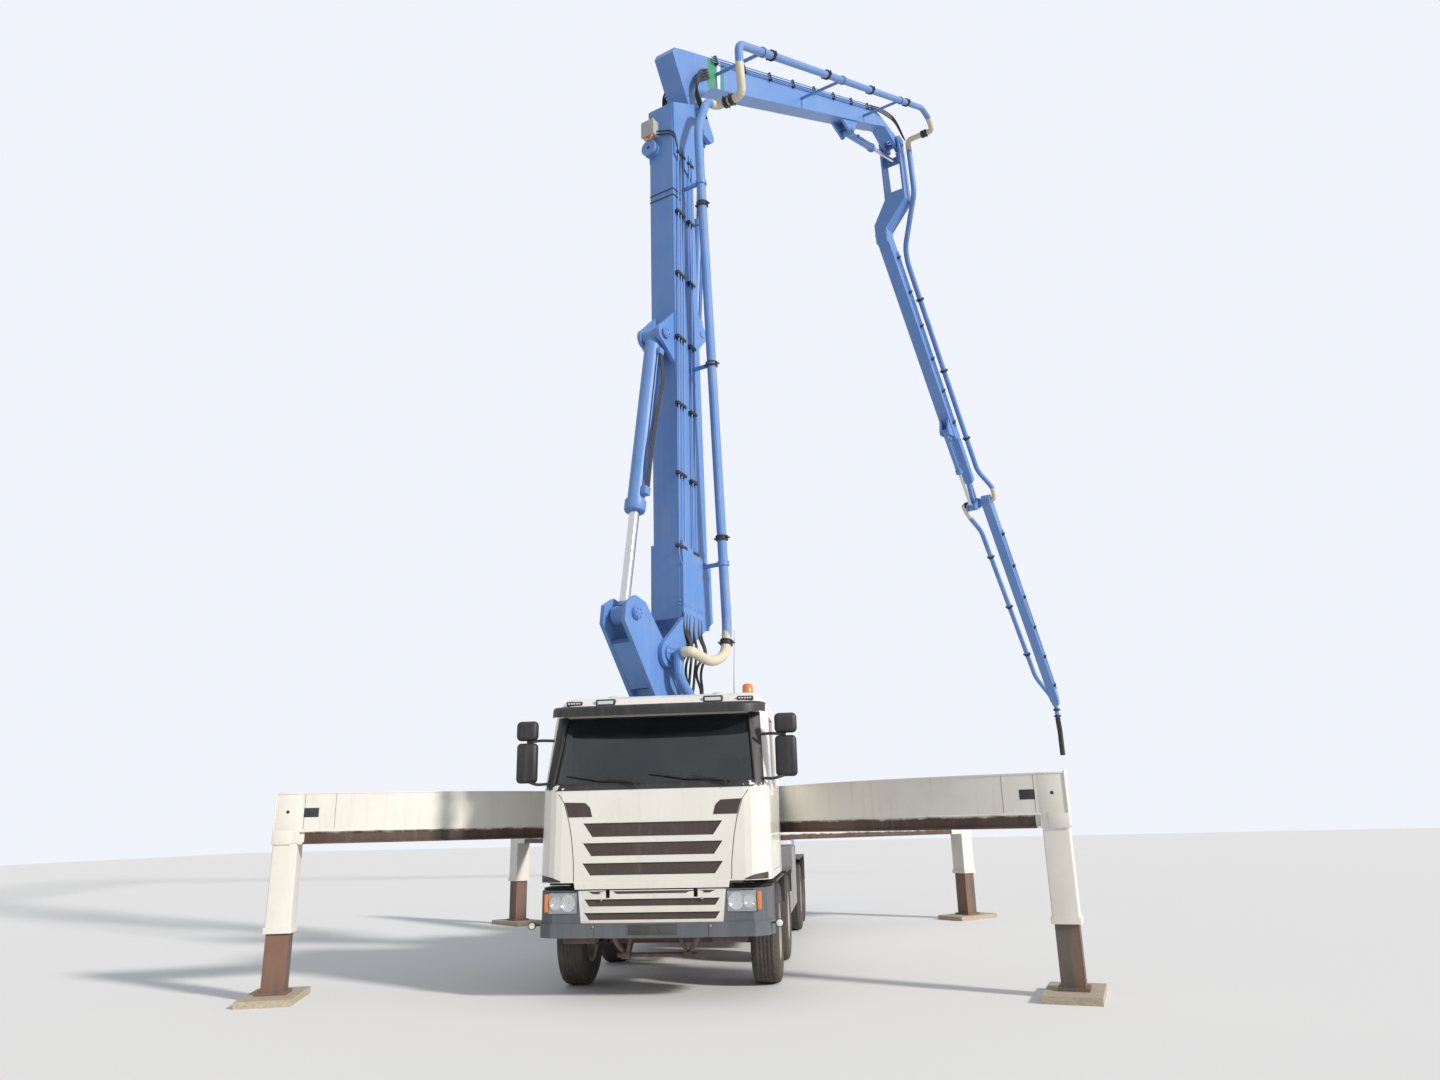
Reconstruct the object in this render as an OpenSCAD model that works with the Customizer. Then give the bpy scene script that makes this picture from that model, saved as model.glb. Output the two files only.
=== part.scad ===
// Truck-mounted concrete pump on its outriggers, with a four-section boom.
// Origin on the ground under the slewing axis, +X the truck's left, +Y rearwards, +Z up.

/* [Chassis] */
// Outer half width of the frame rails
rail_half = 430; // [400:5:460]
// Height of a frame rail
rail_h = 270; // [220:5:300]
// Height of the rails' top above the ground
rail_top = 1000; // [980:5:1000]
// Wall of the rails
rail_t = 10; // [8:1:14]
// Rear end of the rails
rail_rear = 6850; // [6700:10:6880]

/* [Wheels] */
// Outer diameter of a tyre over its lugs
tyre_d = 1070; // [1000:5:1080]
// Width of a tyre
tyre_w = 315; // [290:5:320]
// Rim radius
rim_r = 286; // [270:1:300]
// Distance of a front wheel's centre from the centreline
track_f = 1070; // [1060:5:1085]
// Distance of a twin wheel's centre from the centreline
track_r = 915; // [900:5:930]
// Spindle radius
spindle_r = 45; // [35:1:55]

/* [Cab] */
// Width of the cab
cab_w = 2450; // [2350:10:2480]
// Height of the cab's floor line above the ground
cab_z0 = 1150; // [1145:1:1170]
// Height of the roof above the ground
cab_z1 = 3120; // [3050:5:3180]
// Thickness of the cab's wall and doors
cab_t = 62; // [50:1:75]
// Gap around a door
door_gap = 8; // [6:1:12]

/* [Outriggers] */
// Radius of the curved front beams
arc_r = 5470; // [5460:5:5480]
// Width of an outrigger beam
beam_w = 300; // [270:5:310]
// Height of an outrigger beam
beam_h = 550; // [500:5:560]
// Height of the front beams' lower edge
beam_z = 1590; // [1570:5:1600]
// Wall of the beams
beam_t = 12; // [8:1:16]
// Gap between a beam and its sleeve
sleeve_gap = 10; // [6:1:14]
// Outer width of a leg's tube
leg_w = 260; // [230:5:270]
// Gap between a leg and its tube
leg_gap = 0.6; // [0.4:0.1:3]
// Length of a rear beam from its pivot to its leg
rear_l = 4193; // [4150:1:4230]

/* [Boom] */
// Direction of the boom over the ground, from the truck's left towards its rear
boom_az = 64; // [60:1:68]
// Length of section 1 between its pins
l1 = 9376; // [9200:1:9500]
// Length of section 2 between its pins
l2 = 11304; // [11100:1:11450]
// Length of section 3's neck, from its pin to its bend
l3a = 2416; // [2380:1:2450]
// Length of section 3 from its bend to its outer pin
l3b = 8191; // [8050:1:8300]
// Length of section 4
l4 = 7600; // [7400:1:7800]
// Half width of the box of section 1
s1_half = 220; // [210:1:225]
// Half width of the box of section 2
s2_half = 185; // [170:1:188]
// Wall of the boom sections
boom_t = 9; // [7:1:12]

/* [Delivery pipe] */
// Outer radius of the delivery pipe
pipe_r = 70; // [60:1:72]
// Wall of the delivery pipe
pipe_t = 6; // [4:1:8]
// Distance of the pipe from section 2's middle plane
pipe_out = 1150; // [1100:5:1200]

/* [Hidden] */
$fn = 48;
wheel_z = tyre_d / 2;
axle_y = [-2200, -260, 3500, 4850];
rail_z = rail_top - rail_h;
kingpin_x = 790;
fit = 0.5;
seat = 0.3;
move_gap = 8;
twin_dx = tyre_w / 2 + 20;
arc_c = [5655, 2010];
leg_deg = 253.96;
leg_r = arc_r + 13;
leg_half_deg = asin((leg_w / 2 - 8) / leg_r);
rear_z = 1450;
rear_p = [1000, 2300];
rear_deg = 41.71;
pin_r = 60;
mat = [930, 550, 70];
foot_t = 30;
leg_in = leg_w - 30 - 2 * leg_gap;
tilt_p = [-3420, 900];
ring_z = 2200;
a1 = 83.75;
a2 = 30.4;
a3a = -83.3;
a3b = -46.48;
a4 = -45.4;
p0 = [-1030, 3920];
p1 = p0 + l1 * dirv(a1);
p2 = p1 + l2 * dirv(a2);
pk = p2 + l3a * dirv(a3a);
p3 = pk + l3b * dirv(a3b);
pt = p3 + l4 * dirv(a4);
s3_n = -500;
s4_n = -150;
end_n = -215;
eye1 = [-1700, 4380];
top1 = [-990, 8740];
eye2 = p1 + 450 * dirv(-15);
foot2 = at(p0, a1, 5370, -548);
eye3 = p2 + 400 * dirv(a2 - 100);
foot3 = at(p1, a2, l2 - 3304, 200);
eye4 = at(p3, a3b, -90, -430);
foot4 = at(p3, a3b, -2600, -480);

// Unit vectors along and across a direction in the boom's plane, and a point given along and across it
function dirv(a) = [cos(a), sin(a)];
function prp(a) = [-sin(a), cos(a)];
function at(p, a, x, z) = p + x * dirv(a) + z * prp(a);
function s3(p, n) = [p.x, n, p.y];
function flip(p) = [p[0], -p[1], p[2]];

// The boom's plane: X outwards, Z up, n towards the viewer of its right-hand side
module boom_plane() { rotate([0, 0, boom_az]) children(); }
// A flat plate between two distances n from the plane
module plate(n0, n1) { translate([0, -n0, 0]) rotate([90, 0, 0]) linear_extrude(n1 - n0) children(); }
module plates(n0, n1) { plate(n0, n1) children(); plate(-n1, -n0) children(); }
module along(p, a) { translate([p.x, 0, p.y]) rotate([0, -a, 0]) children(); }
module sides() { children(); mirror([1, 0, 0]) children(); }

module rod(a, b, r) {
  d = b - a;
  l = norm(d);
  translate(a) rotate([0, acos(d[2] / l), atan2(d[1], d[0])]) cylinder(r = r, h = l);
}
// A path with its corners rounded, and frames carried along it
function unit(v) = v / norm(v);
function rounded(p, r, k) = [p[0], for (i = [1:1:len(p) - 2]) let (a = p[i - 1] - p[i], b = p[i + 1] - p[i],
  d = min(r, 0.46 * norm(a), 0.46 * norm(b)), q0 = p[i] + d * unit(a), q2 = p[i] + d * unit(b))
  each [for (j = [0:k]) let (t = j / k) (1 - t) * (1 - t) * q0 + 2 * t * (1 - t) * p[i] + t * t * q2], p[len(p) - 1]];
function tangents(q) = let (m = len(q) - 1) [for (i = [0:m]) unit(i == 0 ? q[1] - q[0] : i == m ? q[m] - q[m - 1] : q[i + 1] - q[i - 1])];
function carried(t, i, u) = let (w = unit(u - (u * t[i]) * t[i])) i == len(t) - 1 ? [w] : concat([w], carried(t, i + 1, w));
// A tube swept along rounded points, with an inner and an outer skin of m sides
module swept_tube(pts, r, t, bend, k, m) {
  q = rounded(pts, bend, k);
  tn = tangents(q);
  u = carried(tn, 0, abs(tn[0].y) > 0.8 ? [1, 0, 0] : [0, 1, 0]);
  c = len(q);
  skin = [for (rr = [r, r - t]) for (i = [0:c - 1]) let (v = cross(tn[i], u[i])) for (j = [0:m - 1])
    q[i] + rr * (cos(360 * j / m) * u[i] + sin(360 * j / m) * v)];
  o = c * m;
  polyhedron(points = skin, faces = concat(
    [for (i = [0:c - 2]) for (j = [0:m - 1]) each [
      [i * m + j, (i + 1) * m + j, (i + 1) * m + (j + 1) % m],
      [i * m + j, (i + 1) * m + (j + 1) % m, i * m + (j + 1) % m],
      [o + i * m + j, o + (i + 1) * m + (j + 1) % m, o + (i + 1) * m + j],
      [o + i * m + j, o + i * m + (j + 1) % m, o + (i + 1) * m + (j + 1) % m]]],
    [for (j = [0:m - 1]) each [
      [j, (j + 1) % m, o + (j + 1) % m], [j, o + (j + 1) % m, o + j],
      [(c - 1) * m + (j + 1) % m, (c - 1) * m + j, o + (c - 1) * m + j],
      [(c - 1) * m + (j + 1) % m, o + (c - 1) * m + j, o + (c - 1) * m + (j + 1) % m]]]));
}
module pipe(pts) { swept_tube([for (p = pts) flip(p)], pipe_r, pipe_t, 170, 4, 16); }
// A tapered box beam along X, from x0 with edges a0..b0 to x1 with edges a1..b1
module beam_box(x0, a0, b0, x1, a1, b1, n0, n1, t) {
  difference() {
    plate(n0, n1) polygon([[x0, a0], [x1, a1], [x1, b1], [x0, b0]]);
    plate(n0 + t, n1 - t) polygon([[x0 + t, a0 + t], [x1 - t, a1 + t], [x1 - t, b1 - t], [x0 + t, b0 - t]]);
  }
}
module ring2(p, r) { translate(p) circle(r = r); }
module box(x0, x1, y0, y1, z0, z1) { translate([x0, y0, z0]) cube([x1 - x0, y1 - y0, z1 - z0]); }
module shell_box(x0, x1, y0, y1, z0, z1, t) {
  difference() {
    box(x0, x1, y0, y1, z0, z1);
    box(x0 + t, x1 - t, y0 + t, y1 - t, z0 + t, z1 - t);
  }
}

// Chassis
module frame_rails() {
  color("#3a3c40") {
    sides() difference() {
      box(rail_half - 90, rail_half, -3300, rail_rear, rail_z, rail_top);
      box(rail_half - 91, rail_half - rail_t, -3301, rail_rear + 1, rail_z + rail_t, rail_top - rail_t);
    }
    for (y = [-3280, -1500, 700, 2400, 4150, 6000])
      box(-rail_half + rail_t, rail_half - rail_t, y, y + 120, rail_z + 40, rail_z + 180);
  }
}
module engine() {
  color("#55585c") box(-rail_half + 90 + seat, rail_half - 90 - seat, -3100, -1560, 560, 1120);
}
module spring(y, z0) {
  box(rail_half - 85, rail_half - 5, y - 620, y + 620, z0, z0 + 60);
  for (e = [-620, 560]) box(rail_half - 70, rail_half - 20, y + e, y + e + 60, z0 + 50, rail_z);
}
module front_axles() {
  color("#4a3a33") for (i = [0, 1]) {
    sides() spring(axle_y[i], 540);
    box(-730, 730, axle_y[i] - 55, axle_y[i] + 55, 430, 540);
    sides() {
      box(690, kingpin_x, axle_y[i] - 40, axle_y[i] + 40, 470, 600);
      translate([kingpin_x, axle_y[i], 455]) cylinder(r = 46, h = 160);
    }
  }
}
module rear_axles() {
  color("#3a3230") for (i = [2, 3]) {
    sides() spring(axle_y[i], 610);
    translate([0, axle_y[i], wheel_z]) rotate([0, 90, 0]) rotate_extrude()
      polygon([[0, 5 - track_r], [58, 5 - track_r], [58, -560], [85, -560], [85, -260], [180, -170], [215, -60],
        [215, 60], [180, 170], [85, 260], [85, 560], [58, 560], [58, track_r - 5], [0, track_r - 5]]);
    translate([0, axle_y[i] - 260, wheel_z]) rotate([-90, 0, 0]) cylinder(r = 50, h = 300);
  }
}
module slot_row(half, z0, z1, y0, y1) {
  translate([0, y1, 0]) rotate([90, 0, 0]) linear_extrude(y1 - y0)
    polygon([[-half, z1], [-half + (z1 - z0) * 0.7, z0], [half - (z1 - z0) * 0.7, z0], [half, z1]]);
}
module front_bumper() {
  color("#46505c") {
    difference() {
      translate([0, 0, 620]) linear_extrude(140)
        polygon([[-1225, -3250], [-1180, -3480], [-1050, -3575], [-600, -3600], [600, -3600], [1050, -3575],
          [1180, -3480], [1225, -3250], [1170, -3250], [1020, -3480], [-1020, -3480], [-1170, -3250]]);
      box(-260, 260, -3610, -3590, 640, 745);
    }
    difference() {
      translate([0, 0, 760]) linear_extrude(315)
        polygon([[-1215, -3250], [-1170, -3470], [-1040, -3560], [-600, -3585], [600, -3585], [1040, -3560],
          [1170, -3470], [1215, -3250], [1190, -3250], [1145, -3440], [1015, -3535], [-1015, -3535], [-1145, -3440], [-1190, -3250]]);
      sides() box(rail_half + 2, rail_half + 46, -3600, -3500, 1000, 1100);
      for (z = [[790, 860], [920, 990]]) slot_row(700, z[0], z[1], -3600, -3560);
      sides() box(770, 1130, -3600, -3550, 850, 1060);
    }
    sides() {
      box(rail_half - 80, rail_half - 10, -3490, -3300, rail_z + 10, rail_top - 10);
      rotate([0, 90, 0]) translate([-tilt_p.y, tilt_p.x, rail_half - 20]) cylinder(r = 26, h = 62);
    }
  }
}
module fenders() {
  color("#2c2e31") {
    sides() {
      shell_box(860, 1215, -3245, -2960, 600, 1095, 14);
      box(rail_half, 1215, -3100, -3040, 880, 960);
      box(880, 1240, -2955, -1460, 1098, 1120);
      box(880, 1240, -1470, -1450, 800, 1098);
      box(rail_half, 900, -1470, -1440, 900, 960);
      box(990, 1240, -860, 355, 1098, 1120);
      box(rail_half, 900, 335, 365, 900, 960);
      box(880, 1240, 335, 355, 800, 1098);
      box(560, 1250, 2940, 5410, 1120, 1142);
      box(560, 1250, 5388, 5410, 700, 1120);
      for (y = [3100, 4175, 5200]) box(rail_half - 60, 700, y, y + 60, 1000, 1121);
    }
  }
}

// Outriggers
module arc_box(d0, d1, r0, r1, z0, z1) {
  translate([arc_c.x, arc_c.y, 0]) rotate([0, 0, d0]) rotate_extrude(angle = d1 - d0, $fn = 180)
    translate([r0, z0]) square([r1 - r0, z1 - z0]);
}
module leg_place() {
  translate([arc_c.x, arc_c.y, 0]) rotate([0, 0, leg_deg]) translate([leg_r, 0, 0]) children();
}
module rear_place() {
  translate([rear_p.x, rear_p.y, 0]) rotate([0, 0, rear_deg]) children();
}
module leg_tube(z0, z1) {
  difference() {
    union() {
      translate([-leg_w / 2, -leg_w / 2, z0]) cube([leg_w, leg_w, z1 - z0]);
      translate([-leg_w / 2 - 15, -leg_w / 2 - 15, z0]) cube([leg_w + 30, leg_w + 30, 60]);
    }
    translate([-leg_w / 2 + 15, -leg_w / 2 + 15, z0 - 1]) cube([leg_w - 30, leg_w - 30, z1 - z0 - 14]);
  }
}
module beam_front() {
  color("#e9e4d8") {
    difference() {
      arc_box(204, leg_deg - leg_half_deg, arc_r - beam_w / 2, arc_r + beam_w / 2, beam_z, beam_z + beam_h);
      arc_box(203, leg_deg - leg_half_deg - 0.3, arc_r - beam_w / 2 + beam_t, arc_r + beam_w / 2 - beam_t,
        beam_z + beam_t, beam_z + beam_h - beam_t);
    }
    leg_place() leg_tube(680, 2300);
  }
}
module beam_rear() {
  color("#e9e4d8") rear_place() {
    difference() {
      union() {
        box(0, rear_l - leg_w / 2 + 8, -beam_w / 2, beam_w / 2, rear_z, rear_z + beam_h);
        translate([0, 0, rear_z]) cylinder(r = beam_w / 2, h = beam_h);
      }
      box(250, rear_l - leg_w / 2 - 12, -beam_w / 2 + beam_t, beam_w / 2 - beam_t, rear_z + beam_t, rear_z + beam_h - beam_t);
      translate([0, 0, rear_z - 1]) cylinder(r = pin_r + fit, h = beam_h + 2);
    }
    translate([rear_l, 0, 0]) leg_tube(770, 2160);
  }
}
module leg() {
  color("#6b4a3a") {
    difference() {
      translate([-leg_in / 2, -leg_in / 2, mat.z + foot_t]) cube([leg_in, leg_in, 1500]);
      translate([-leg_in / 2 + 12, -leg_in / 2 + 12, mat.z + foot_t + 12]) cube([leg_in - 24, leg_in - 24, 1476]);
    }
    translate([-150, -150, mat.z]) cube([300, 300, foot_t]);
  }
}
module leg_front() { leg_place() leg(); }
module leg_rear() { rear_place() translate([rear_l, 0, 0]) leg(); }
module spreader_mats() {
  color("#d8cba8") sides() {
    leg_place() translate([-mat.x / 2, -mat.y / 2, 0]) cube(mat);
    rear_place() translate([rear_l - mat.x / 2, -mat.y / 2, 0]) cube(mat);
  }
}
module outrigger_frame() {
  color("#e9e4d8") {
    difference() {
      union() {
        translate([0, 0, rail_top]) linear_extrude(ring_z - rail_top)
          polygon([[-940, -1180], [940, -1180], [940, -860], [780, -600], [780, 850], [-780, 850], [-780, -600], [-940, -860]]);
        sides() arc_box(162, 212.5, arc_r - beam_w / 2 - 22, arc_r + beam_w / 2 + 22, beam_z - 22, beam_z + beam_h + 22);
        box(-820, 820, 2150, 2450, 1380, 2070);
        sides() {
          translate([0, 0, 1380]) linear_extrude(rear_z - 1388)
            polygon([[600, 2150], [1000, 2130], [1120, 2180], [1170, 2300], [1120, 2420], [1000, 2470], [600, 2450]]);
          translate([0, 0, rear_z + beam_h + 8]) linear_extrude(62)
            polygon([[600, 2150], [1000, 2130], [1120, 2180], [1170, 2300], [1120, 2420], [1000, 2470], [600, 2450]]);
          translate([rear_p.x, rear_p.y, 1400]) cylinder(r = pin_r, h = 660);
          box(300, 420, 2180, 2420, rail_top, 1381);
        }
        box(-550, 550, 850, 2150, rail_top + 5, 1100);
      }
      sides() {
        arc_box(160, 214, arc_r - beam_w / 2 - sleeve_gap, arc_r + beam_w / 2 + sleeve_gap, beam_z - sleeve_gap,
          beam_z + beam_h + sleeve_gap);
        box(830, 2000, 1900, 2700, rear_z - move_gap, rear_z - move_gap + 1);
      }
      translate([0, 0, rail_top + 14]) linear_extrude(beam_z - rail_top - 50)
        polygon([[-926, -1166], [926, -1166], [926, -864], [766, -604], [766, 836], [-766, 836], [-766, -604], [-926, -864]]);
    }
    sides() {
      arc_box(208, 212, arc_r - 100, arc_r + 100, beam_z - sleeve_gap - 1, beam_z - seat);
      arc_box(204.5, 207, arc_r - 100, arc_r + 100, beam_z + beam_h + seat, beam_z + beam_h + sleeve_gap + 1);
    }
    translate([0, 0, ring_z]) cylinder(r = 600, h = 145);
  }
}
module pump_unit() {
  color("#4c5c74") {
    for (x = [-230, 230]) translate([x, 2900, 1230]) rotate([-90, 0, 0]) cylinder(r = 130, h = 3900);
    box(-420, 420, 4500, 5100, rail_top + seat, 1420);
    box(-380, 380, 6500, 6890, rail_top + seat, 1480);
    box(-420, 420, 2600, 2900, rail_top + seat, 1370);
  }
}
module hopper() {
  color("#4c7cc0") {
    difference() {
      union() {
        translate([-950, 0, 0]) rotate([90, 0, 90]) linear_extrude(1900)
          polygon([[7000, 900], [7900, 760], [8400, 1350], [8400, 1560], [6900, 1560], [6900, 1300]]);
      }
      translate([-938, 0, 0]) rotate([90, 0, 90]) linear_extrude(1876)
        polygon([[7012, 914], [7893, 776], [8388, 1355], [8388, 1570], [6912, 1570], [6912, 1300]]);
    }
    for (x = [-800:160:800]) box(x - 6, x + 6, 6905, 8395, 1500, 1540);
    box(-rail_half, rail_half, rail_rear, 7030, 860, rail_top);
  }
}
module side_tanks() {
  color("#8a8d90") sides() {
    shell_box(560, 1200, 560, 1500, 480, 990, 10);
    shell_box(560, 1200, 1600, 2880, 480, 1350, 10);
    for (y = [700, 1300, 1750, 2650]) box(rail_half, 561, y, y + 80, 800, 950);
  }
}

// Cab: a loft through plan outlines [height, front, half width, corner radius, rear], inset by t
cab_rows = [[cab_z0, -3550, 0, 260, -1550], [2100, -3510, 0, 260, -1550], [2900, -3170, 22, 240, -1550],
  [cab_z1 - 100, -3085, 40, 230, -1560], [cab_z1 - 30, -3015, 90, 200, -1600], [cab_z1, -2950, 160, 150, -1680]];
function arcp(c, r, d0, d1, m) = [for (i = [0:m]) c + r * [cos(d0 + (d1 - d0) * i / m), sin(d0 + (d1 - d0) * i / m)]];
function outline(row, t) = let (w = cab_w / 2 - row[2] - t, f = row[1] + t, b = row[4] - t, r = row[3])
  concat(arcp([w - r, f + r], r, 0, -90, 6), arcp([-w + r, f + r], r, -90, -180, 6),
    arcp([-w + 60, b - 60], 60, 180, 90, 3), arcp([w - 60, b - 60], 60, 90, 0, 3));
module cab_loft(t) {
  rows = [for (i = [0:len(cab_rows) - 1]) let (q = cab_rows[i])
    [i == 0 ? q[0] + t : i >= 3 ? q[0] - t : q[0], q[1], q[2], q[3], q[4]]];
  m = len(outline(rows[0], t));
  k = len(rows);
  pts = [for (q = rows) for (p = outline(q, t)) [p.x, p.y, q[0]]];
  polyhedron(points = pts, faces = concat([[for (i = [m - 1:-1:0]) i]], [[for (i = [0:m - 1]) (k - 1) * m + i]],
    [for (j = [0:k - 2]) for (i = [0:m - 1]) each [
      [j * m + i, j * m + (i + 1) % m, (j + 1) * m + i],
      [j * m + (i + 1) % m, (j + 1) * m + (i + 1) % m, (j + 1) * m + i]]]));
}
module door_zone(g) {
  x0 = cab_w / 2 - cab_t - 50;
  translate([x0, 0, 0]) rotate([90, 0, 90]) linear_extrude(400)
    polygon([[-3085 + g, 1218 + g], [-2100 - g, 1218 + g], [-2100 - g, 2950 - g], [-2840 + 0.4 * g, 2950 - g], [-3085 + g, 2230]]);
}
module door_window() {
  translate([1000, 0, 0]) rotate([90, 0, 90]) linear_extrude(400)
    polygon([[-2990, 2110], [-2190, 2060], [-2190, 2860], [-2790, 2860], [-2990, 2270]]);
}
module screen_zone() {
  translate([0, -2900, 0]) rotate([90, 0, 0]) linear_extrude(700)
    polygon([[-1080, 2140], [1080, 2140], [1010, 2870], [-1010, 2870]]);
}
module tilt_arm() {
  translate([rail_half + 10, 0, 0]) rotate([90, 0, 90]) linear_extrude(26) difference() {
    union() {
      ring2(tilt_p, 52);
      polygon([[tilt_p.x + 8, tilt_p.y], [tilt_p.x + 50, tilt_p.y], [tilt_p.x + 190, cab_z0 + 1], [tilt_p.x + 8, cab_z0 + 1]]);
    }
    ring2(tilt_p, 26 + fit);
  }
}
module door_hinge(side, g) {
  for (z = [1450, 2050]) translate([cab_w / 2 + 5, -3085, z + (side ? 0 : -60) - (side ? -2 * seat : 0) - g * 8])
    cylinder(r = 14 + g * fit, h = 59 + g * 16);
}
module cab_shell() {
  color("#efece4") sides() {
    tilt_arm();
    door_hinge(false, 0);
  }
  color("#efece4") difference() {
    cab_loft(0);
    cab_loft(cab_t);
    sides() door_hinge(true, 1);
    sides() door_zone(0);
    screen_zone();
    for (z = [[1220, 1340], [1410, 1540], [1600, 1740]]) slot_row(735, z[0], z[1], -3600, -3500);
    sides() box(1085, 1222, -3300, -2700, 1100, 1112);
  }
}
module cab_glass() {
  color("#2b3138", 0.6) intersection() {
    difference() {
      cab_loft(18);
      cab_loft(26);
    }
    screen_zone();
  }
}
module door() {
  color("#efece4") difference() {
    intersection() {
      difference() {
        cab_loft(0);
        cab_loft(cab_t);
      }
      door_zone(door_gap);
    }
    door_window();
    door_hinge(false, 1);
  }
  color("#efece4") door_hinge(true, 0);
}
module door_glass() {
  color("#2b3138", 0.6) intersection() {
    difference() {
      cab_loft(20);
      cab_loft(28);
    }
    door_window();
  }
}
module cab_interior() {
  color("#30343a") {
    box(-1050, 1050, -3400, -3060, cab_z0 + cab_t + seat, 2020);
    for (x = [-560, 560]) {
      box(x - 260, x + 260, -2650, -2150, cab_z0 + cab_t + seat, 1750);
      box(x - 250, x + 250, -2280, -2130, 1740, 2450);
    }
    box(-1050, 1050, -1900, -1613, cab_z0 + cab_t + seat, 1700);
  }
}
module cab_trim() {
  color("#1c1d1f") difference() {
    union() {
      sides() {
        box(1300, 1540, -3400, -3300, 2170, 2840);
        for (z = [2300, 2700]) box(1100, 1310, -3365, -3335, z, z + 30);
      }
      translate([0, 0, 2850]) linear_extrude(120)
        polygon([[-1050, -3480], [1050, -3480], [1120, -3230], [1060, -3150], [-1060, -3150], [-1120, -3230]]);
    }
    cab_loft(-seat);
  }
}

// Wheels
module tyre(x) {
  hw = tyre_w / 2;
  r = tyre_d / 2;
  translate([x, 0, 0]) rotate([0, 90, 0]) rotate_extrude($fn = 48)
    polygon([[rim_r - 10, -hw + 30], [rim_r + 40, -hw + 8], [r - 80, -hw], [r - 22, -hw + 16], [r, -hw + 45],
      [r, hw - 45], [r - 22, hw - 16], [r - 80, hw], [rim_r + 40, hw - 8], [rim_r - 10, hw - 30]]);
}
module wheel_front() {
  color("#2a2b2d") difference() {
    union() {
      difference() {
        union() {
          tyre(track_f);
          translate([track_f - 120, 0, 0]) rotate([0, 90, 0]) cylinder(r = rim_r, h = 240);
        }
        rotate([0, 90, 0]) cylinder(r = rim_r - 24, h = 2000);
      }
      translate([track_f + 20, 0, 0]) rotate([0, 90, 0]) cylinder(r = rim_r, h = 14);
      translate([905, 0, 0]) rotate([0, 90, 0]) cylinder(r = 105, h = 270);
    }
    rotate([0, 90, 0]) cylinder(r = spindle_r + fit, h = 1010);
  }
}
module wheel_rear() {
  color("#2a2b2d") difference() {
    union() {
      difference() {
        union() {
          tyre(track_r - twin_dx);
          tyre(track_r + twin_dx);
          translate([track_r - twin_dx - 110, 0, 0]) rotate([0, 90, 0]) cylinder(r = rim_r, h = 2 * twin_dx + 220);
        }
        rotate([0, 90, 0]) cylinder(r = rim_r - 24, h = 2000);
      }
      translate([track_r - 30, 0, 0]) rotate([0, 90, 0]) cylinder(r = rim_r, h = 60);
      translate([track_r - 170, 0, 0]) rotate([0, 90, 0]) cylinder(r = 130, h = 330);
    }
    rotate([0, 90, 0]) cylinder(r = 58 + fit, h = track_r - 5 + move_gap);
  }
}
module knuckle() {
  color("#3c3532") {
    for (z = [-111, 80.6]) translate([kingpin_x, 0, z]) cylinder(r = 55, h = 30.4);
    box(kingpin_x, 880, -55, 55, 80.6, 111);
    box(kingpin_x, 880, -55, 55, -111, -80.6);
    box(845, 880, -70, 70, -111, 111);
    translate([870, 0, 0]) rotate([0, 90, 0]) cylinder(r = spindle_r, h = 130);
  }
}
module knuckle_1l() { translate([0, axle_y[0], wheel_z]) knuckle(); }
module knuckle_1r() { mirror([1, 0, 0]) knuckle_1l(); }
module knuckle_2l() { translate([0, axle_y[1], wheel_z]) knuckle(); }
module knuckle_2r() { mirror([1, 0, 0]) knuckle_2l(); }
module wheel_1l() { translate([0, axle_y[0], wheel_z]) wheel_front(); }
module wheel_1r() { mirror([1, 0, 0]) wheel_1l(); }
module wheel_2l() { translate([0, axle_y[1], wheel_z]) wheel_front(); }
module wheel_2r() { mirror([1, 0, 0]) wheel_2l(); }
module wheel_3l() { translate([0, axle_y[2], wheel_z]) wheel_rear(); }
module wheel_3r() { mirror([1, 0, 0]) wheel_3l(); }
module wheel_4l() { translate([0, axle_y[3], wheel_z]) wheel_rear(); }
module wheel_4r() { mirror([1, 0, 0]) wheel_4l(); }
module door_left() { door(); }
module door_right() { mirror([1, 0, 0]) door(); }
module door_glass_left() { door_glass(); }
module door_glass_right() { mirror([1, 0, 0]) door_glass(); }
module beam_front_left() { beam_front(); }
module beam_front_right() { mirror([1, 0, 0]) beam_front(); }
module beam_rear_left() { beam_rear(); }
module beam_rear_right() { mirror([1, 0, 0]) beam_rear(); }
module leg_front_left() { leg_front(); }
module leg_front_right() { mirror([1, 0, 0]) leg_front(); }
module leg_rear_left() { leg_rear(); }
module leg_rear_right() { mirror([1, 0, 0]) leg_rear(); }

// Boom
module turret() {
  color("#4c7cc0") {
    translate([0, 0, ring_z + 145 + 2 * seat]) cylinder(r = 580, h = 75);
    boom_plane() {
      difference() {
        plates(150, 210) polygon([[-560, 2400], [500, 2400], [500, 2750], [-480, 2850], [-520, 3600], [-830, 4040],
          [-1100, 4130], [-1480, 4560], [-1700, 4620], [-1900, 4500], [-1930, 4250], [-1360, 3460]]);
        plates(149, 211) ring2(eye1, 61);
      }
      plates(150, 210) ring2(p0, 200);
      plate(-s1_half - 68, s1_half + 68) ring2(p0, 90);
      plates(211, 240) ring2(eye1, 90);
      plate(-151, 151) polygon([[-560, 2400], [500, 2400], [500, 2750], [-480, 2850], [-520, 3500], [-780, 3760],
        [-1000, 3600], [-1250, 3450]]);
      pipe([[-150, 420, 2415], [-300, 420, 3000], s3(p0, 420) + [0, 0, -350], s3(p0, 420), s3(p0, 500)]);
    }
  }
}
module eye_plates(p, q, n0, n1, r) {
  plates(n0, n1) {
    ring2(p, r);
    polygon(q);
  }
}
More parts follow.
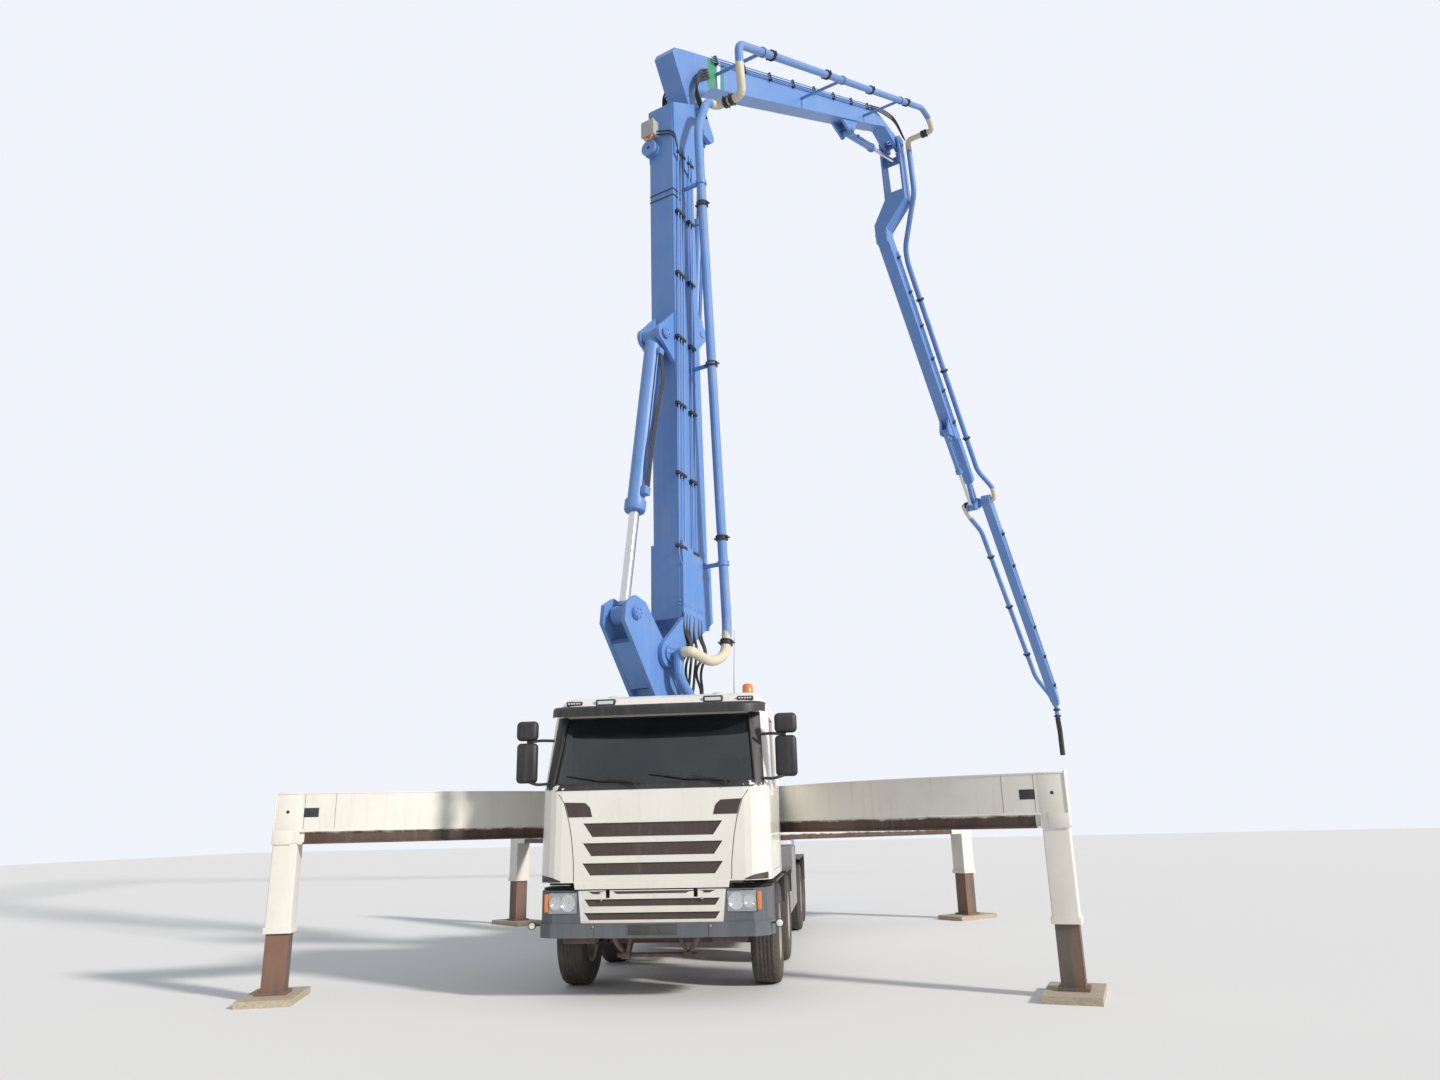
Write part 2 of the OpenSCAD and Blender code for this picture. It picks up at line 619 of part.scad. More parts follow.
// Clamps round a straight run of pipe from a to b, with stays out from a section's side
module pipe_clamps(a, na, b, nb, places, p, ang, half) {
  for (t = places) {
    c = a + t * (b - a);
    n = na + t * (nb - na);
    l = [(c - p) * dirv(ang), (c - p) * prp(ang)];
    turn = atan2(b.y - a.y, b.x - a.x) - ang;
    translate([l.x, 0, l.y]) {
      plate(half - 5, n - pipe_r - 8) circle(r = 32);
      translate([0, -n, 0]) rotate([0, -turn, 0]) rotate([0, 90, 0]) translate([0, 0, -30]) difference() {
        cylinder(r = pipe_r + 18, h = 60);
        translate([0, 0, -1]) cylinder(r = pipe_r + seat, h = 62);
      }
    }
  }
}
module boom_1() {
  x1 = l1 - 350;
  color("#4c7cc0") boom_plane() along(p0, a1) {
    beam_box(600, -1027, -267, x1, 178, 739, -s1_half, s1_half, boom_t);
    difference() {
      plates(s1_half, s1_half + 60) {
        circle(r = 190);
        polygon([[-60, -180], [700, -1010], [1500, -890], [1700, -150], [600, -270], [100, 165]]);
      }
      plates(s1_half - 1, s1_half + 61) circle(r = 90 + fit);
    }
    difference() {
      plates(s1_half - 10, s1_half + 30) {
        translate([l1, 0]) circle(r = 200);
        polygon([[l1 - 1500, 0], [l1 - 1300, 600], [x1, 730], [l1 + 60, 190], [l1 + 40, -195]]);
      }
      plates(s1_half - 11, s1_half + 31) translate([l1, 0]) circle(r = 80 + fit);
    }
    difference() {
      plates(140, 200) {
        translate([4796, 485]) circle(r = 150);
        polygon([[4400, 90], [5400, 200], [4920, 570], [4660, 530]]);
      }
      plates(139, 201) translate([4796, 485]) circle(r = 30);
    }
    plate(-220, 220) translate([4796, 485]) circle(r = 60 - fit);
    plates(110, 160) {
      translate([5370, -548]) circle(r = 130);
      polygon([[4900, -380], [5000, -250], [5900, -140], [5480, -610], [5260, -610]]);
    }
    plate(-172, 172) translate([5370, -548]) circle(r = 60 - fit);
    pipe_clamps(at(p0, a1, 520, -900), 600, at(p0, a1, l1 - 876, 480), 590, [0.12, 0.5, 0.88], p0, a1, s1_half);
  }
}
module boom_2() {
  w = s2_half;
  color("#4c7cc0") boom_plane() along(p1, a2) {
    beam_box(250, 560, 1130, l2 - 1300, 420, 860, -w, w, boom_t);
    difference() {
      plate(-w, w) polygon([[-150, 60], [-170, 1050], [-60, 1130], [260, 1130], [900, 560], [330, 300], [180, -80], [-80, -180]]);
      plate(-w + 20, w - 20) polygon([[-120, 330], [-140, 1030], [-40, 1105], [240, 1105], [620, 700], [300, 420]]);
    }
    plate(-s1_half - 36, s1_half + 36) circle(r = 80);
    plate(-w, w) circle(r = 180);
    plates(100, w) {
      translate([316, -320]) circle(r = 120);
      polygon([[-100, -150], [250, -420], [430, -300], [400, 330], [0, 100]]);
    }
    difference() {
      plate(-w, w) {
        polygon([[l2 - 1500, 440], [l2 - 1500, 850], [l2 - 1200, 840], [l2 + 60, 190], [l2 + 190, 0], [l2 - 60, -190], [l2 - 200, -60], [l2 - 700, 420]]);
        translate([l2, 0]) circle(r = 190);
      }
      plate(-95, 95) translate([l2 - 100, -100]) circle(r = 330);
    }
    plate(-282, 282) translate([l2, 0]) circle(r = 70);
    plates(95, 150) {
      translate([l2 - 3304, 200]) circle(r = 120);
      polygon([[l2 - 3804, 480], [l2 - 2704, 470], [l2 - 3194, 150], [l2 - 3414, 150]]);
    }
    plate(-162, 162) translate([l2 - 3304, 200]) circle(r = 60 - fit);
    pipe_clamps(at(p1, a2, 300, 832), pipe_out, at(p1, a2, l2 - 500, 540), pipe_out, [0.09, 0.46, 0.83], p1, a2, w);
  }
}
module boom_3() {
  color("#4c7cc0") {
    boom_plane() along(p2, a3a) {
      difference() {
        plates(225, 275) {
          circle(r = 200);
          polygon([[0, -185], [1500, -230], [1500, 230], [0, 185]]);
          rotate(a2 - 100 - a3a) translate([400, 0]) circle(r = 110);
          rotate(a2 - 100 - a3a) polygon([[0, -110], [400, -110], [400, 110], [0, 110]]);
        }
        plates(224, 276) circle(r = 70 + fit);
      }
      difference() {
        translate([0, 0, -235]) linear_extrude(470)
          polygon([[1400, 275], [1400, -275], [1650, -275], [2300, 333], [l3a + 250, 353], [l3a + 250, 647], [2150, 647], [1550, 275]]);
        translate([0, 0, -225]) linear_extrude(450)
          polygon([[1410, 250], [1410, -250], [1640, -250], [2290, 345], [l3a + 240, 363], [l3a + 240, 637], [2160, 637], [1560, 250]]);
      }
      plates(100, 230) {
        rotate(a2 - 100 - a3a) translate([400, 0]) circle(r = 100);
        rotate(a2 - 100 - a3a) polygon([[230, -90], [400, -90], [400, 90], [230, 90]]);
      }
    }
    boom_plane() along(pk, a3b) {
      beam_box(-150, -230, 230, l3b - 2200, -210, 210, s3_n - 150, s3_n + 150, boom_t);
      beam_box(l3b - 2210, -60, 210, l3b - 700, -40, 190, s3_n - 150, s3_n + 150, boom_t);
      difference() {
        plate(s3_n - 50, s3_n + 50) {
          polygon([[l3b - 720, -40], [l3b - 720, 180], [l3b, 170], [l3b, -170], [l3b - 300, -150]]);
          translate([l3b, 0]) circle(r = 190);
        }
        plate(s3_n - 51, s3_n + 51) translate([l3b, 0]) circle(r = 121 + fit);
      }
      plate(s3_n - 130, s3_n - 80) {
        translate([l3b - 2600, -480]) circle(r = 100);
        polygon([[l3b - 2900, -200], [l3b - 2300, -200], [l3b - 2510, -520], [l3b - 2690, -520]]);
      }
      plate(s3_n + 80, s3_n + 130) {
        translate([l3b - 2600, -480]) circle(r = 100);
        polygon([[l3b - 2900, -200], [l3b - 2300, -200], [l3b - 2510, -520], [l3b - 2690, -520]]);
      }
      plate(s3_n - 140, s3_n + 140) translate([l3b - 2600, -480]) circle(r = 60 - fit);
    }
  }
}
module boom_4() {
  n0 = s4_n - 125;
  n1 = s4_n + 125;
  q = a3b - a4 - 102;
  color("#4c7cc0") boom_plane() along(p3, a4) {
    difference() {
      union() {
        beam_box(150, -170, 170, l4 - 150, -100, 100, n0, n1, 7);
        plate(n0, n1) {
          circle(r = 190);
          polygon([[0, -190], [180, -170], [180, 170], [0, 190]]);
        }
        plate(s3_n - 130, n0 + 1) circle(r = 121);
        plate(s3_n - 130, s3_n - 80) {
          circle(r = 150);
          rotate(q) polygon([[0, -130], [440, -90], [440, 90], [0, 130]]);
          rotate(q) translate([440, 0]) circle(r = 90);
        }
        plate(s3_n + 80, s3_n + 130) {
          circle(r = 150);
          rotate(q) polygon([[0, -130], [440, -90], [440, 90], [0, 130]]);
          rotate(q) translate([440, 0]) circle(r = 90);
        }
      }
      plate(s3_n - 140, n1 + 1) circle(r = pipe_r + 18);
    }
    beam_box(l4 - 151, -95, 95, l4, -90, 90, n0 + 20, n1 - 20, 7);
  }
}
// Delivery pipe, one run on each section, joined at the pins' axes
module pipe_1() {
  color("#4c7cc0") boom_plane() pipe([s3(p0, 500 + 2 * seat), s3(p0, 620), s3(at(p0, a1, -40, -500), 620), s3(at(p0, a1, 150, -860), 610),
    s3(at(p0, a1, 520, -900), 600), s3(at(p0, a1, l1 - 876, 480), 590), s3(at(p0, a1, l1 - 150, 300), 600), s3(p1, 610), s3(p1, 850)]);
}
module pipe_2() {
  color("#4c7cc0") boom_plane() pipe([s3(p1, 850 + 2 * seat), s3(p1, 1100), s3(at(p1, a2, 60, 350), pipe_out), s3(at(p1, a2, 300, 832), pipe_out),
    s3(at(p1, a2, l2 - 500, 540), pipe_out), s3(at(p1, a2, l2 - 80, 300), pipe_out), s3(p2, pipe_out), s3(p2, 930 + 2 * seat)]);
}
module pipe_3() {
  color("#4c7cc0") boom_plane() pipe([s3(p2, 930), s3(p2, 460), s3(p2, 460) + [60, 0, -300], s3(at(p2, a3a, 1500, 0), 460),
    s3(at(pk, a3b, 500, 320), -150), s3(at(pk, a3b, 900, 310), -220), s3(at(p3, a3b, -900, 300), -220), s3(at(p3, a3b, -330, 160), 95), s3(p3, 95),
    s3(p3, -736)]);
}
module pipe_4() {
  color("#4c7cc0") boom_plane() pipe([s3(p3, -736 - 2 * seat), s3(p3, -860), s3(at(p3, a4, 400, 120), -860), s3(at(p3, a4, 1100, 300), -700),
    s3(at(p3, a4, l4 - 900, 300), -600), s3(at(p3, a4, l4 - 150, 260), -330), s3(at(p3, a4, l4 + 170, 150), end_n), s3(pt, end_n) + [260, 0, -420]]);
}
module end_hose() {
  h = s3(pt, end_n) + [260, 0, -420];
  d = h - s3(at(p3, a4, l4 + 170, 150), end_n);
  u = d / norm(d);
  color("#242528") boom_plane()
    swept_tube([for (p = [h + 2 * seat * u, h + 120 * u, h + [90, 0, -420], h + [95, 0, -1180]]) flip(p)], 80, 16, 60, 4, 16);
}
// Cylinders: a barrel with an eye at its foot, and a rod with an eye at its far end
module barrel(p, q, l, r, rr, w) {
  a = atan2(q.y - p.y, q.x - p.x);
  boom_plane() along(p, a) {
    difference() {
      union() {
        plate(-w, w) circle(r = r);
        rotate([0, 90, 0]) cylinder(r = r, h = l);
        translate([l - 110, 0, 0]) rotate([0, 90, 0]) cylinder(r = r + 22, h = 110);
      }
      translate([r + 60, 0, 0]) rotate([0, 90, 0]) cylinder(r = rr + fit, h = l);
      plate(-max(w, r) - 1, max(w, r) + 1) circle(r = 60);
    }
  }
}
module rod_eye(p, q, depth, rr, re, w) {
  a = atan2(q.y - p.y, q.x - p.x);
  d = norm(q - p);
  boom_plane() along(p, a) {
    difference() {
      union() {
        translate([d - depth, 0, 0]) rotate([0, 90, 0]) cylinder(r = rr, h = depth);
        translate([d, 0, 0]) plate(-w, w) circle(r = re);
      }
      translate([d, 0, 0]) plate(-w - 1, w + 1) circle(r = 45);
    }
  }
}
module shift4() { boom_plane() translate([0, -s3_n, 0]) rotate([0, 0, -boom_az]) children(); }
module barrel_1() { color("#4c7cc0") barrel(top1, eye1, 2900, 120, 71, 128); }
module rod_1() { color("#c8ccd0") rod_eye(top1, eye1, 2700, 71, 125, 118); }
module barrel_2() { color("#4c7cc0") barrel(foot2, eye2, 2200, 98, 61, 98); }
module rod_2() { color("#c8ccd0") rod_eye(foot2, eye2, 2350, 61, 105, 88); }
module barrel_3() { color("#4c7cc0") barrel(foot3, eye3, 1650, 85, 51, 85); }
module rod_3() { color("#c8ccd0") rod_eye(foot3, eye3, 2300, 51, 95, 82); }
module barrel_4() { color("#4c7cc0") shift4() barrel(foot4, eye4, 1350, 75, 45, 70); }
module rod_4() { color("#c8ccd0") shift4() rod_eye(foot4, eye4, 1350, 45, 80, 70); }

frame_rails();
engine();
front_axles();
rear_axles();
front_bumper();
fenders();
outrigger_frame();
pump_unit();
hopper();
side_tanks();
spreader_mats();
cab_shell();
cab_glass();
cab_interior();
cab_trim();
door_left();
door_right();
door_glass_left();
door_glass_right();
knuckle_1l();
knuckle_1r();
knuckle_2l();
knuckle_2r();
wheel_1l();
wheel_1r();
wheel_2l();
wheel_2r();
wheel_3l();
wheel_3r();
wheel_4l();
wheel_4r();
turret();
boom_1();
boom_2();
boom_3();
boom_4();
pipe_1();
pipe_2();
pipe_3();
pipe_4();
end_hose();
barrel_1();
rod_1();
barrel_2();
rod_2();
barrel_3();
rod_3();
barrel_4();
rod_4();
beam_front_left();
beam_front_right();
beam_rear_left();
beam_rear_right();
leg_front_left();
leg_front_right();
leg_rear_left();
leg_rear_right();
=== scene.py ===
"""A truck-mounted concrete pump with its boom up: finishes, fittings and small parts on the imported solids."""
import math

import bpy
import numpy as np
from mathutils import Matrix, Vector
from mathutils.bvhtree import BVHTree


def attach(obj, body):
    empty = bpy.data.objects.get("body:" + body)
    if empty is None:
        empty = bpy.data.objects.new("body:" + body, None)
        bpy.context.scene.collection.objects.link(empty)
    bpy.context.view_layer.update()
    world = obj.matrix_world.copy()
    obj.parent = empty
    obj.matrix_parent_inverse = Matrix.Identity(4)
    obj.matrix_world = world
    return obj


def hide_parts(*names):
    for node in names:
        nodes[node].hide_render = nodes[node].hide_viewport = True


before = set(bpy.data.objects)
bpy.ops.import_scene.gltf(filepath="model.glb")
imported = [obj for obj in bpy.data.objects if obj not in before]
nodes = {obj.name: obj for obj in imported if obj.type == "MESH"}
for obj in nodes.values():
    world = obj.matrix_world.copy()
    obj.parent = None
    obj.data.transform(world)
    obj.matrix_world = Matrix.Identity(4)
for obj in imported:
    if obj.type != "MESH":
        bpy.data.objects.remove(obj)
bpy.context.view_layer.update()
PI = math.pi


# The boom: a slanted plane through the turret, and in it the pins and angles of its sections
def along(angle):
    """Unit vector (cos, sin) of an angle in degrees."""
    return np.array([math.cos(math.radians(angle)), math.sin(math.radians(angle))])


def across(angle):
    """Unit vector a quarter turn on from along."""
    return np.array([-math.sin(math.radians(angle)), math.cos(math.radians(angle))])


BOOM_AZIMUTH = 64.0
OUT = np.array([*along(BOOM_AZIMUTH), 0.0])
SIDE = np.array([math.sin(math.radians(BOOM_AZIMUTH)), -math.cos(math.radians(BOOM_AZIMUTH)), 0.0])
UP = np.array([0, 0, 1.0])
A1, A2, A3A, A3B, A4 = 83.75, 30.4, -83.3, -46.48, -45.4
L1, L2, L3A, L3B, L4 = 9.376, 11.304, 2.416, 8.191, 7.6
P0 = np.array([-1.03, 3.92])
P1 = P0 + L1 * along(A1)
P2 = P1 + L2 * along(A2)
PK = P2 + L3A * along(A3A)
P3 = PK + L3B * along(A3B)
PT = P3 + L4 * along(A4)
EYE1 = np.array([-1.70, 4.38])
TOP1 = np.array([-0.99, 8.74])
HOSE_N = -0.215
SECTIONS = {1: (P0, A1), 2: (P1, A2), 3: (PK, A3B), 4: (P3, A4)}


def in_boom(points):
    """Boom-plane coordinates (outwards, sideways, up) to the row frame."""
    q = np.asarray(points, float)
    return q[..., :1] * OUT + q[..., 1:2] * SIDE + q[..., 2:3] * UP


def on_pin(p, n):
    """A point on the axis of the pin at p, n sideways."""
    return in_boom([p[0], n, p[1]])


def from_pin(p, angle, x, z, n):
    """A point x along an angle and z across it from the pin at p, n sideways."""
    return on_pin(p + x * along(angle) + z * across(angle), n)


def on(section, x, z, n):
    """A point x along and z across a section of the boom, n sideways."""
    return from_pin(*SECTIONS[section], x, z, n)


def section_axes(section):
    """Rows: along the section, sideways, across it."""
    angle = SECTIONS[section][1]
    (a, b), (c, d) = along(angle), across(angle)
    return np.array([OUT * a + UP * b, SIDE, OUT * c + UP * d])


def unit(v):
    """A vector at length 1."""
    return v / np.linalg.norm(v)


# Small geometry
def grid_faces(rows, cols, close_rows=False, close_cols=False):
    """Quads of a grid of points, rows by cols, wrapped where asked."""
    r = np.arange(rows if close_rows else rows - 1)
    c = np.arange(cols if close_cols else cols - 1)
    rr, cc = np.meshgrid(r, c, indexing="ij")
    r2, c2 = (rr + 1) % rows, (cc + 1) % cols
    return np.stack([rr * cols + cc, rr * cols + c2, r2 * cols + c2, r2 * cols + cc], -1).reshape(-1, 4)


class Parts:
    """Vertices and faces gathered for one piece."""

    def __init__(self):
        self.verts, self.faces, self.count = [], [], 0

    def add(self, verts, faces):
        """Adds one closed part. Its volume, the sum of a . (b x c) / 6 over triangles, says if its faces look out."""
        verts = np.asarray(verts, float).reshape(-1, 3)
        fan = np.array([(f[0], i, j) for f in faces for i, j in zip(f[1:], f[2:])])
        a, b, c = (verts - verts.mean(0))[fan].transpose(1, 0, 2)
        if np.einsum("ij,ij->", a, np.cross(b, c)) < 0:
            faces = [f[::-1] for f in faces]
        self.verts.append(verts)
        self.faces += [tuple(int(i) + self.count for i in f) for f in faces]
        self.count += len(verts)

    def loft(self, rings, close=False):
        """Adds rings of points joined in order, with a lid at each end or the last ring joined to the first."""
        rows, cols = rings.shape[:2]
        lids = [] if close else [range(cols)[::-1], range((rows - 1) * cols, rows * cols)]
        self.add(rings, [*grid_faces(rows, cols, close, True), *lids])

    def shell(self, top, bottom):
        """Adds two like grids of points, joined round their edge."""
        r, c = top.shape[:2]
        skin = grid_faces(r, c)
        edge = [(i, 0) for i in range(r)] + [(r - 1, j) for j in range(1, c)]
        edge += [(i, c - 1) for i in range(r - 2, -1, -1)] + [(0, j) for j in range(c - 2, 0, -1)]
        loop = [i * c + j for i, j in edge]
        rim = [(b, a, a + r * c, b + r * c) for a, b in zip(loop, loop[1:] + loop[:1])]
        self.add(np.concatenate([top.reshape(-1, 3), bottom.reshape(-1, 3)]), [*skin, *(skin[:, ::-1] + r * c), *rim])

    def piece(self, name, material, body, slot=None, smooth=True, stands_for=()):
        """Makes the gathered parts one object on a body; the slot, the material's usual one unless given, is worked out
        but not used.
        """
        mesh = bpy.data.meshes.new(name)
        mesh.from_pydata(np.concatenate(self.verts), [], self.faces)
        mesh.polygons.foreach_set("use_smooth", [smooth] * len(mesh.polygons))
        if smooth:
            mesh.set_sharp_from_angle(angle=math.radians(35))
        mesh.materials.append(material)
        mesh.update()
        obj = bpy.data.objects.new(name, mesh)
        bpy.context.scene.collection.objects.link(obj)
        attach(obj, body)
        slot = slot or USUAL_SLOT.get(material.name)
        if stands_for:
            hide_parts(*stands_for)


def rounded_path(points, bend=0.1, steps=5):
    """A polyline whose corners become parabolas that start bend before each corner."""
    p = [np.asarray(q, float) for q in points]
    out = [p[0]]
    for a, b, c in zip(p, p[1:], p[2:]):
        d = min(bend, 0.46 * np.linalg.norm(b - a), 0.46 * np.linalg.norm(c - b))
        q0 = b + d * (a - b) / np.linalg.norm(a - b)
        q2 = b + d * (c - b) / np.linalg.norm(c - b)
        t = np.linspace(0, 1, steps)[:, None]
        out += list((1 - t) ** 2 * q0 + 2 * t * (1 - t) * b + t ** 2 * q2)
    return np.array(out + [p[-1]])


def tube(parts, path, radius, sides=12):
    """A circle carried along a path without twist: point = path + radius (cos v side + sin v other side)."""
    path = np.asarray(path, float)
    ahead = np.gradient(path, axis=0)
    ahead /= np.linalg.norm(ahead, axis=1)[:, None]
    u = np.cross(ahead[0], UP)
    if np.linalg.norm(u) < 0.1:
        u = np.cross(ahead[0], [1.0, 0.0, 0.0])
    first = []
    for d in ahead:
        u = unit(u - d * u.dot(d))
        first.append(u)
    first = np.array(first)
    other = np.cross(ahead, first)
    radius = np.broadcast_to(np.asarray(radius, float), (len(path),))[:, None, None]
    v = np.linspace(0, 2 * PI, sides, endpoint=False)[None, :, None]
    parts.loft(path[:, None] + radius * (np.cos(v) * first[:, None] + np.sin(v) * other[:, None]))


def bent_tube(parts, points, bend, radius, sides=8, steps=5):
    """A tube along a polyline with rounded corners."""
    tube(parts, rounded_path(points, bend, steps), radius, sides)


def turned(parts, profile, centre, axis, sides=32, close=False):
    """A profile of (radius, height) pairs turned round an axis through centre."""
    profile = np.asarray(profile, float)
    axis = unit(np.asarray(axis, float))
    a = unit(np.cross(axis, [0.3, 0.9, 0.2]))
    b = np.cross(axis, a)
    v = np.linspace(0, 2 * PI, sides, endpoint=False)[None, :, None]
    ring = (np.cos(v) * a + np.sin(v) * b) * profile[:, 0][:, None, None]
    parts.loft(np.asarray(centre, float) + ring + profile[:, 1][:, None, None] * axis, close)


def bolt_ring(parts, bolt, centre, first, second, axis, radius, count):
    """Six-sided bolts (radius, foot, head) at even steps round a circle in the plane of first and second."""
    r, foot, head = bolt
    for a in 2 * PI * np.arange(count) / count:
        turned(parts, [(0.001, foot), (r, foot), (r, head), (0.001, head + 0.001)],
               centre + (first * math.cos(a) + second * math.sin(a)) * radius, axis, 6)


def block(parts, low, high, radius=0.004, steps=2, turn=None, origin=(0, 0, 0)):
    """A box with rounded edges: each octant of a sphere of that radius is moved out to its corner."""
    low, high = np.minimum(low, high), np.maximum(low, high)
    half = (high - low) / 2 - radius
    quarter = np.linspace(0, PI / 2, steps + 1)
    lon = np.concatenate([quarter + k * PI / 2 for k in range(4)])
    sx = np.repeat([1, -1, -1, 1], steps + 1)
    sy = np.repeat([1, 1, -1, -1], steps + 1)
    lat = np.concatenate([quarter - PI / 2, quarter])
    sz = np.repeat([-1, 1], steps + 1)
    x = sx * half[0] + radius * np.cos(lat)[:, None] * np.cos(lon)
    y = sy * half[1] + radius * np.cos(lat)[:, None] * np.sin(lon)
    z = np.broadcast_to((sz * half[2] + radius * np.sin(lat))[:, None], x.shape)
    v = np.stack([x, y, z], -1) + (high + low) / 2
    parts.loft(v if turn is None else v @ np.asarray(turn, float) + np.asarray(origin, float))


def mirrored_blocks(parts, *boxes):
    """Blocks (low, high, radius, steps) on both sides of the truck, each mirrored in x."""
    for sx in (-1, 1):
        for low, high, radius, steps in boxes:
            block(parts, (sx * low[0], *low[1:]), (sx * high[0], *high[1:]), radius, steps)


def sheet_grid(parts, surface, us, vs, thick, normal=None):
    """A thin shell: surface(u, v) and the same moved by thick along its normal, joined round the edge."""
    p = surface(*np.meshgrid(us, vs, indexing="ij"))
    if normal is None:
        n = np.cross(np.gradient(p, axis=0), np.gradient(p, axis=1))
        n /= np.linalg.norm(n, axis=-1)[..., None] + 1e-12
    else:
        n = np.broadcast_to(np.asarray(normal, float), p.shape)
    parts.shell(p, p - n * thick)


def face_of(node):
    """A search tree of a CAD node's faces, for laying trim on its skin."""
    mesh = nodes[node].data
    return BVHTree.FromPolygons([v.co.copy() for v in mesh.vertices], [tuple(f.vertices) for f in mesh.polygons])


def on_front(tree, points, lift=0.0):
    """Points (x, z) looked up on the front skin from ahead of the cab, moved forwards by lift."""
    ahead_of_cab, if_missed = -6.0, -3.4
    out = []
    for x, z in points:
        hit = tree.ray_cast(Vector((x, ahead_of_cab, z)), Vector((0, 1, 0)))[0]
        out.append((x, (hit.y if hit else if_missed) - lift, z))
    return np.array(out)


def pressed(parts, tree, outer, inner, lift=0.003, thick=0.004, across_steps=6, along_steps=10):
    """A sheet on the front skin between two edges of (x, z) points: point(u, v) = (1 - v) outer(u) + v inner(u)."""
    outer, inner = np.array(outer, float), np.array(inner, float)
    u = np.linspace(0, 1, along_steps)
    edges = [np.stack([np.interp(u, np.linspace(0, 1, len(e)), e[:, k]) for k in (0, 1)], -1) for e in (outer, inner)]
    v = np.linspace(0, 1, across_steps)[None, :, None]
    xz = (1 - v) * edges[0][:, None] + v * edges[1][:, None]
    grid = on_front(tree, xz.reshape(-1, 2), lift).reshape(along_steps, across_steps, 3)
    parts.shell(grid, grid + np.array([0.0, thick, 0.0]))


# Finishes
def noise(tree, scale, detail=4.0, rough=0.6, stretch=None):
    """A noise on object coordinates, stretched where asked."""
    source = tree.nodes.new("ShaderNodeTexCoord").outputs["Object"]
    if stretch:
        m = tree.nodes.new("ShaderNodeMapping")
        m.inputs["Scale"].default_value = stretch
        tree.links.new(source, m.inputs["Vector"])
        source = m.outputs["Vector"]
    n = tree.nodes.new("ShaderNodeTexNoise")
    for label, value in (("Scale", scale), ("Detail", detail), ("Roughness", rough)):
        n.inputs[label].default_value = value
    tree.links.new(source, n.inputs["Vector"])
    return n.outputs["Fac"]


def remap(tree, source, a, b, c=0.0, d=1.0):
    """source from a..b to c..d, clamped."""
    m = tree.nodes.new("ShaderNodeMapRange")
    for i, value in ((1, a), (2, b), (3, c), (4, d)):
        m.inputs[i].default_value = value
    tree.links.new(source, m.inputs[0])
    return m.outputs[0]


def feed(tree, value, socket):
    """Sets a socket to a number or colour, or links another socket to it."""
    if isinstance(value, (int, float, tuple)):
        socket.default_value = value
    else:
        tree.links.new(value, socket)


def maths(tree, op, a, b=0.0):
    """One arithmetic node; a and b are sockets or numbers."""
    m = tree.nodes.new("ShaderNodeMath")
    m.operation = op
    feed(tree, a, m.inputs[0])
    feed(tree, b, m.inputs[1])
    return m.outputs[0]


def times(tree, first, *others):
    """The product of several sockets or numbers."""
    for other in others:
        first = maths(tree, "MULTIPLY", first, other)
    return first


def blend_colour(tree, factor, a, b):
    """A mix of two colours by a factor socket."""
    m = tree.nodes.new("ShaderNodeMix")
    m.data_type = "RGBA"
    for i, value in ((0, factor), (6, a), (7, b)):
        feed(tree, value, m.inputs[i])
    return m.outputs[2]


def object_xyz(tree):
    """The three object coordinates."""
    xyz = tree.nodes.new("ShaderNodeSeparateXYZ")
    tree.links.new(tree.nodes.new("ShaderNodeTexCoord").outputs["Object"], xyz.inputs[0])
    return xyz.outputs


def weather_group():
    """Site dust low down and in patches, rain streaks, and chips where a fine noise peaks."""
    tree = bpy.data.node_groups.new("Site weathering", "ShaderNodeTree")
    pale, brown, red_brown = (0.8, 0.8, 0.8, 1), (0.35, 0.31, 0.26, 1), (0.16, 0.08, 0.05, 1)
    for label, value in (("Colour", pale), ("Faded", pale), ("Dust Colour", brown), ("Under", red_brown),
                         ("Dust", 0.3), ("Splash", 0.2), ("Chips", 0.5), ("Roughness", 0.4)):
        kind = "NodeSocketColor" if isinstance(value, tuple) else "NodeSocketFloat"
        tree.interface.new_socket(name=label, in_out="INPUT", socket_type=kind).default_value = value
    for label, kind in (("Colour", "NodeSocketColor"), ("Roughness", "NodeSocketFloat"), ("Height", "NodeSocketFloat")):
        tree.interface.new_socket(name=label, in_out="OUTPUT", socket_type=kind)
    given, out = tree.nodes.new("NodeGroupInput").outputs, tree.nodes.new("NodeGroupOutput").inputs

    clean_above, dirty_below, most_dust, most_rough = 2.2, 0.3, 0.92, 0.95
    low = remap(tree, object_xyz(tree)["Z"], clean_above, dirty_below)
    patches = remap(tree, noise(tree, 2.3, 6.0, 0.65), 0.42, 0.72)
    streaks = remap(tree, noise(tree, 1.0, 5.0, 0.6, stretch=(14.0, 14.0, 0.9)), 0.50, 0.74)
    dust = times(tree, maths(tree, "ADD", times(tree, patches, 0.5), times(tree, streaks, 0.6)), given["Dust"])
    dust = maths(tree, "MINIMUM", maths(tree, "ADD", dust, times(tree, low, given["Splash"])), most_dust)
    fading = remap(tree, noise(tree, 0.9, 3.0), 0.3, 0.7, 0.0, 0.5)
    dirty = blend_colour(tree, dust, blend_colour(tree, fading, given["Colour"], given["Faded"]), given["Dust Colour"])
    chips = times(tree, remap(tree, noise(tree, 9.0, 8.0, 0.72), 0.70, 0.73), given["Chips"])
    tree.links.new(blend_colour(tree, chips, dirty, given["Under"]), out["Colour"])
    rough = maths(tree, "ADD", given["Roughness"], times(tree, dust, 0.35))
    tree.links.new(maths(tree, "MINIMUM", rough, most_rough), out["Roughness"])
    grain = times(tree, noise(tree, 160.0, 2.0), 0.25)
    tree.links.new(maths(tree, "SUBTRACT", grain, times(tree, chips, 0.6)), out["Height"])
    return tree


WEATHER = weather_group()


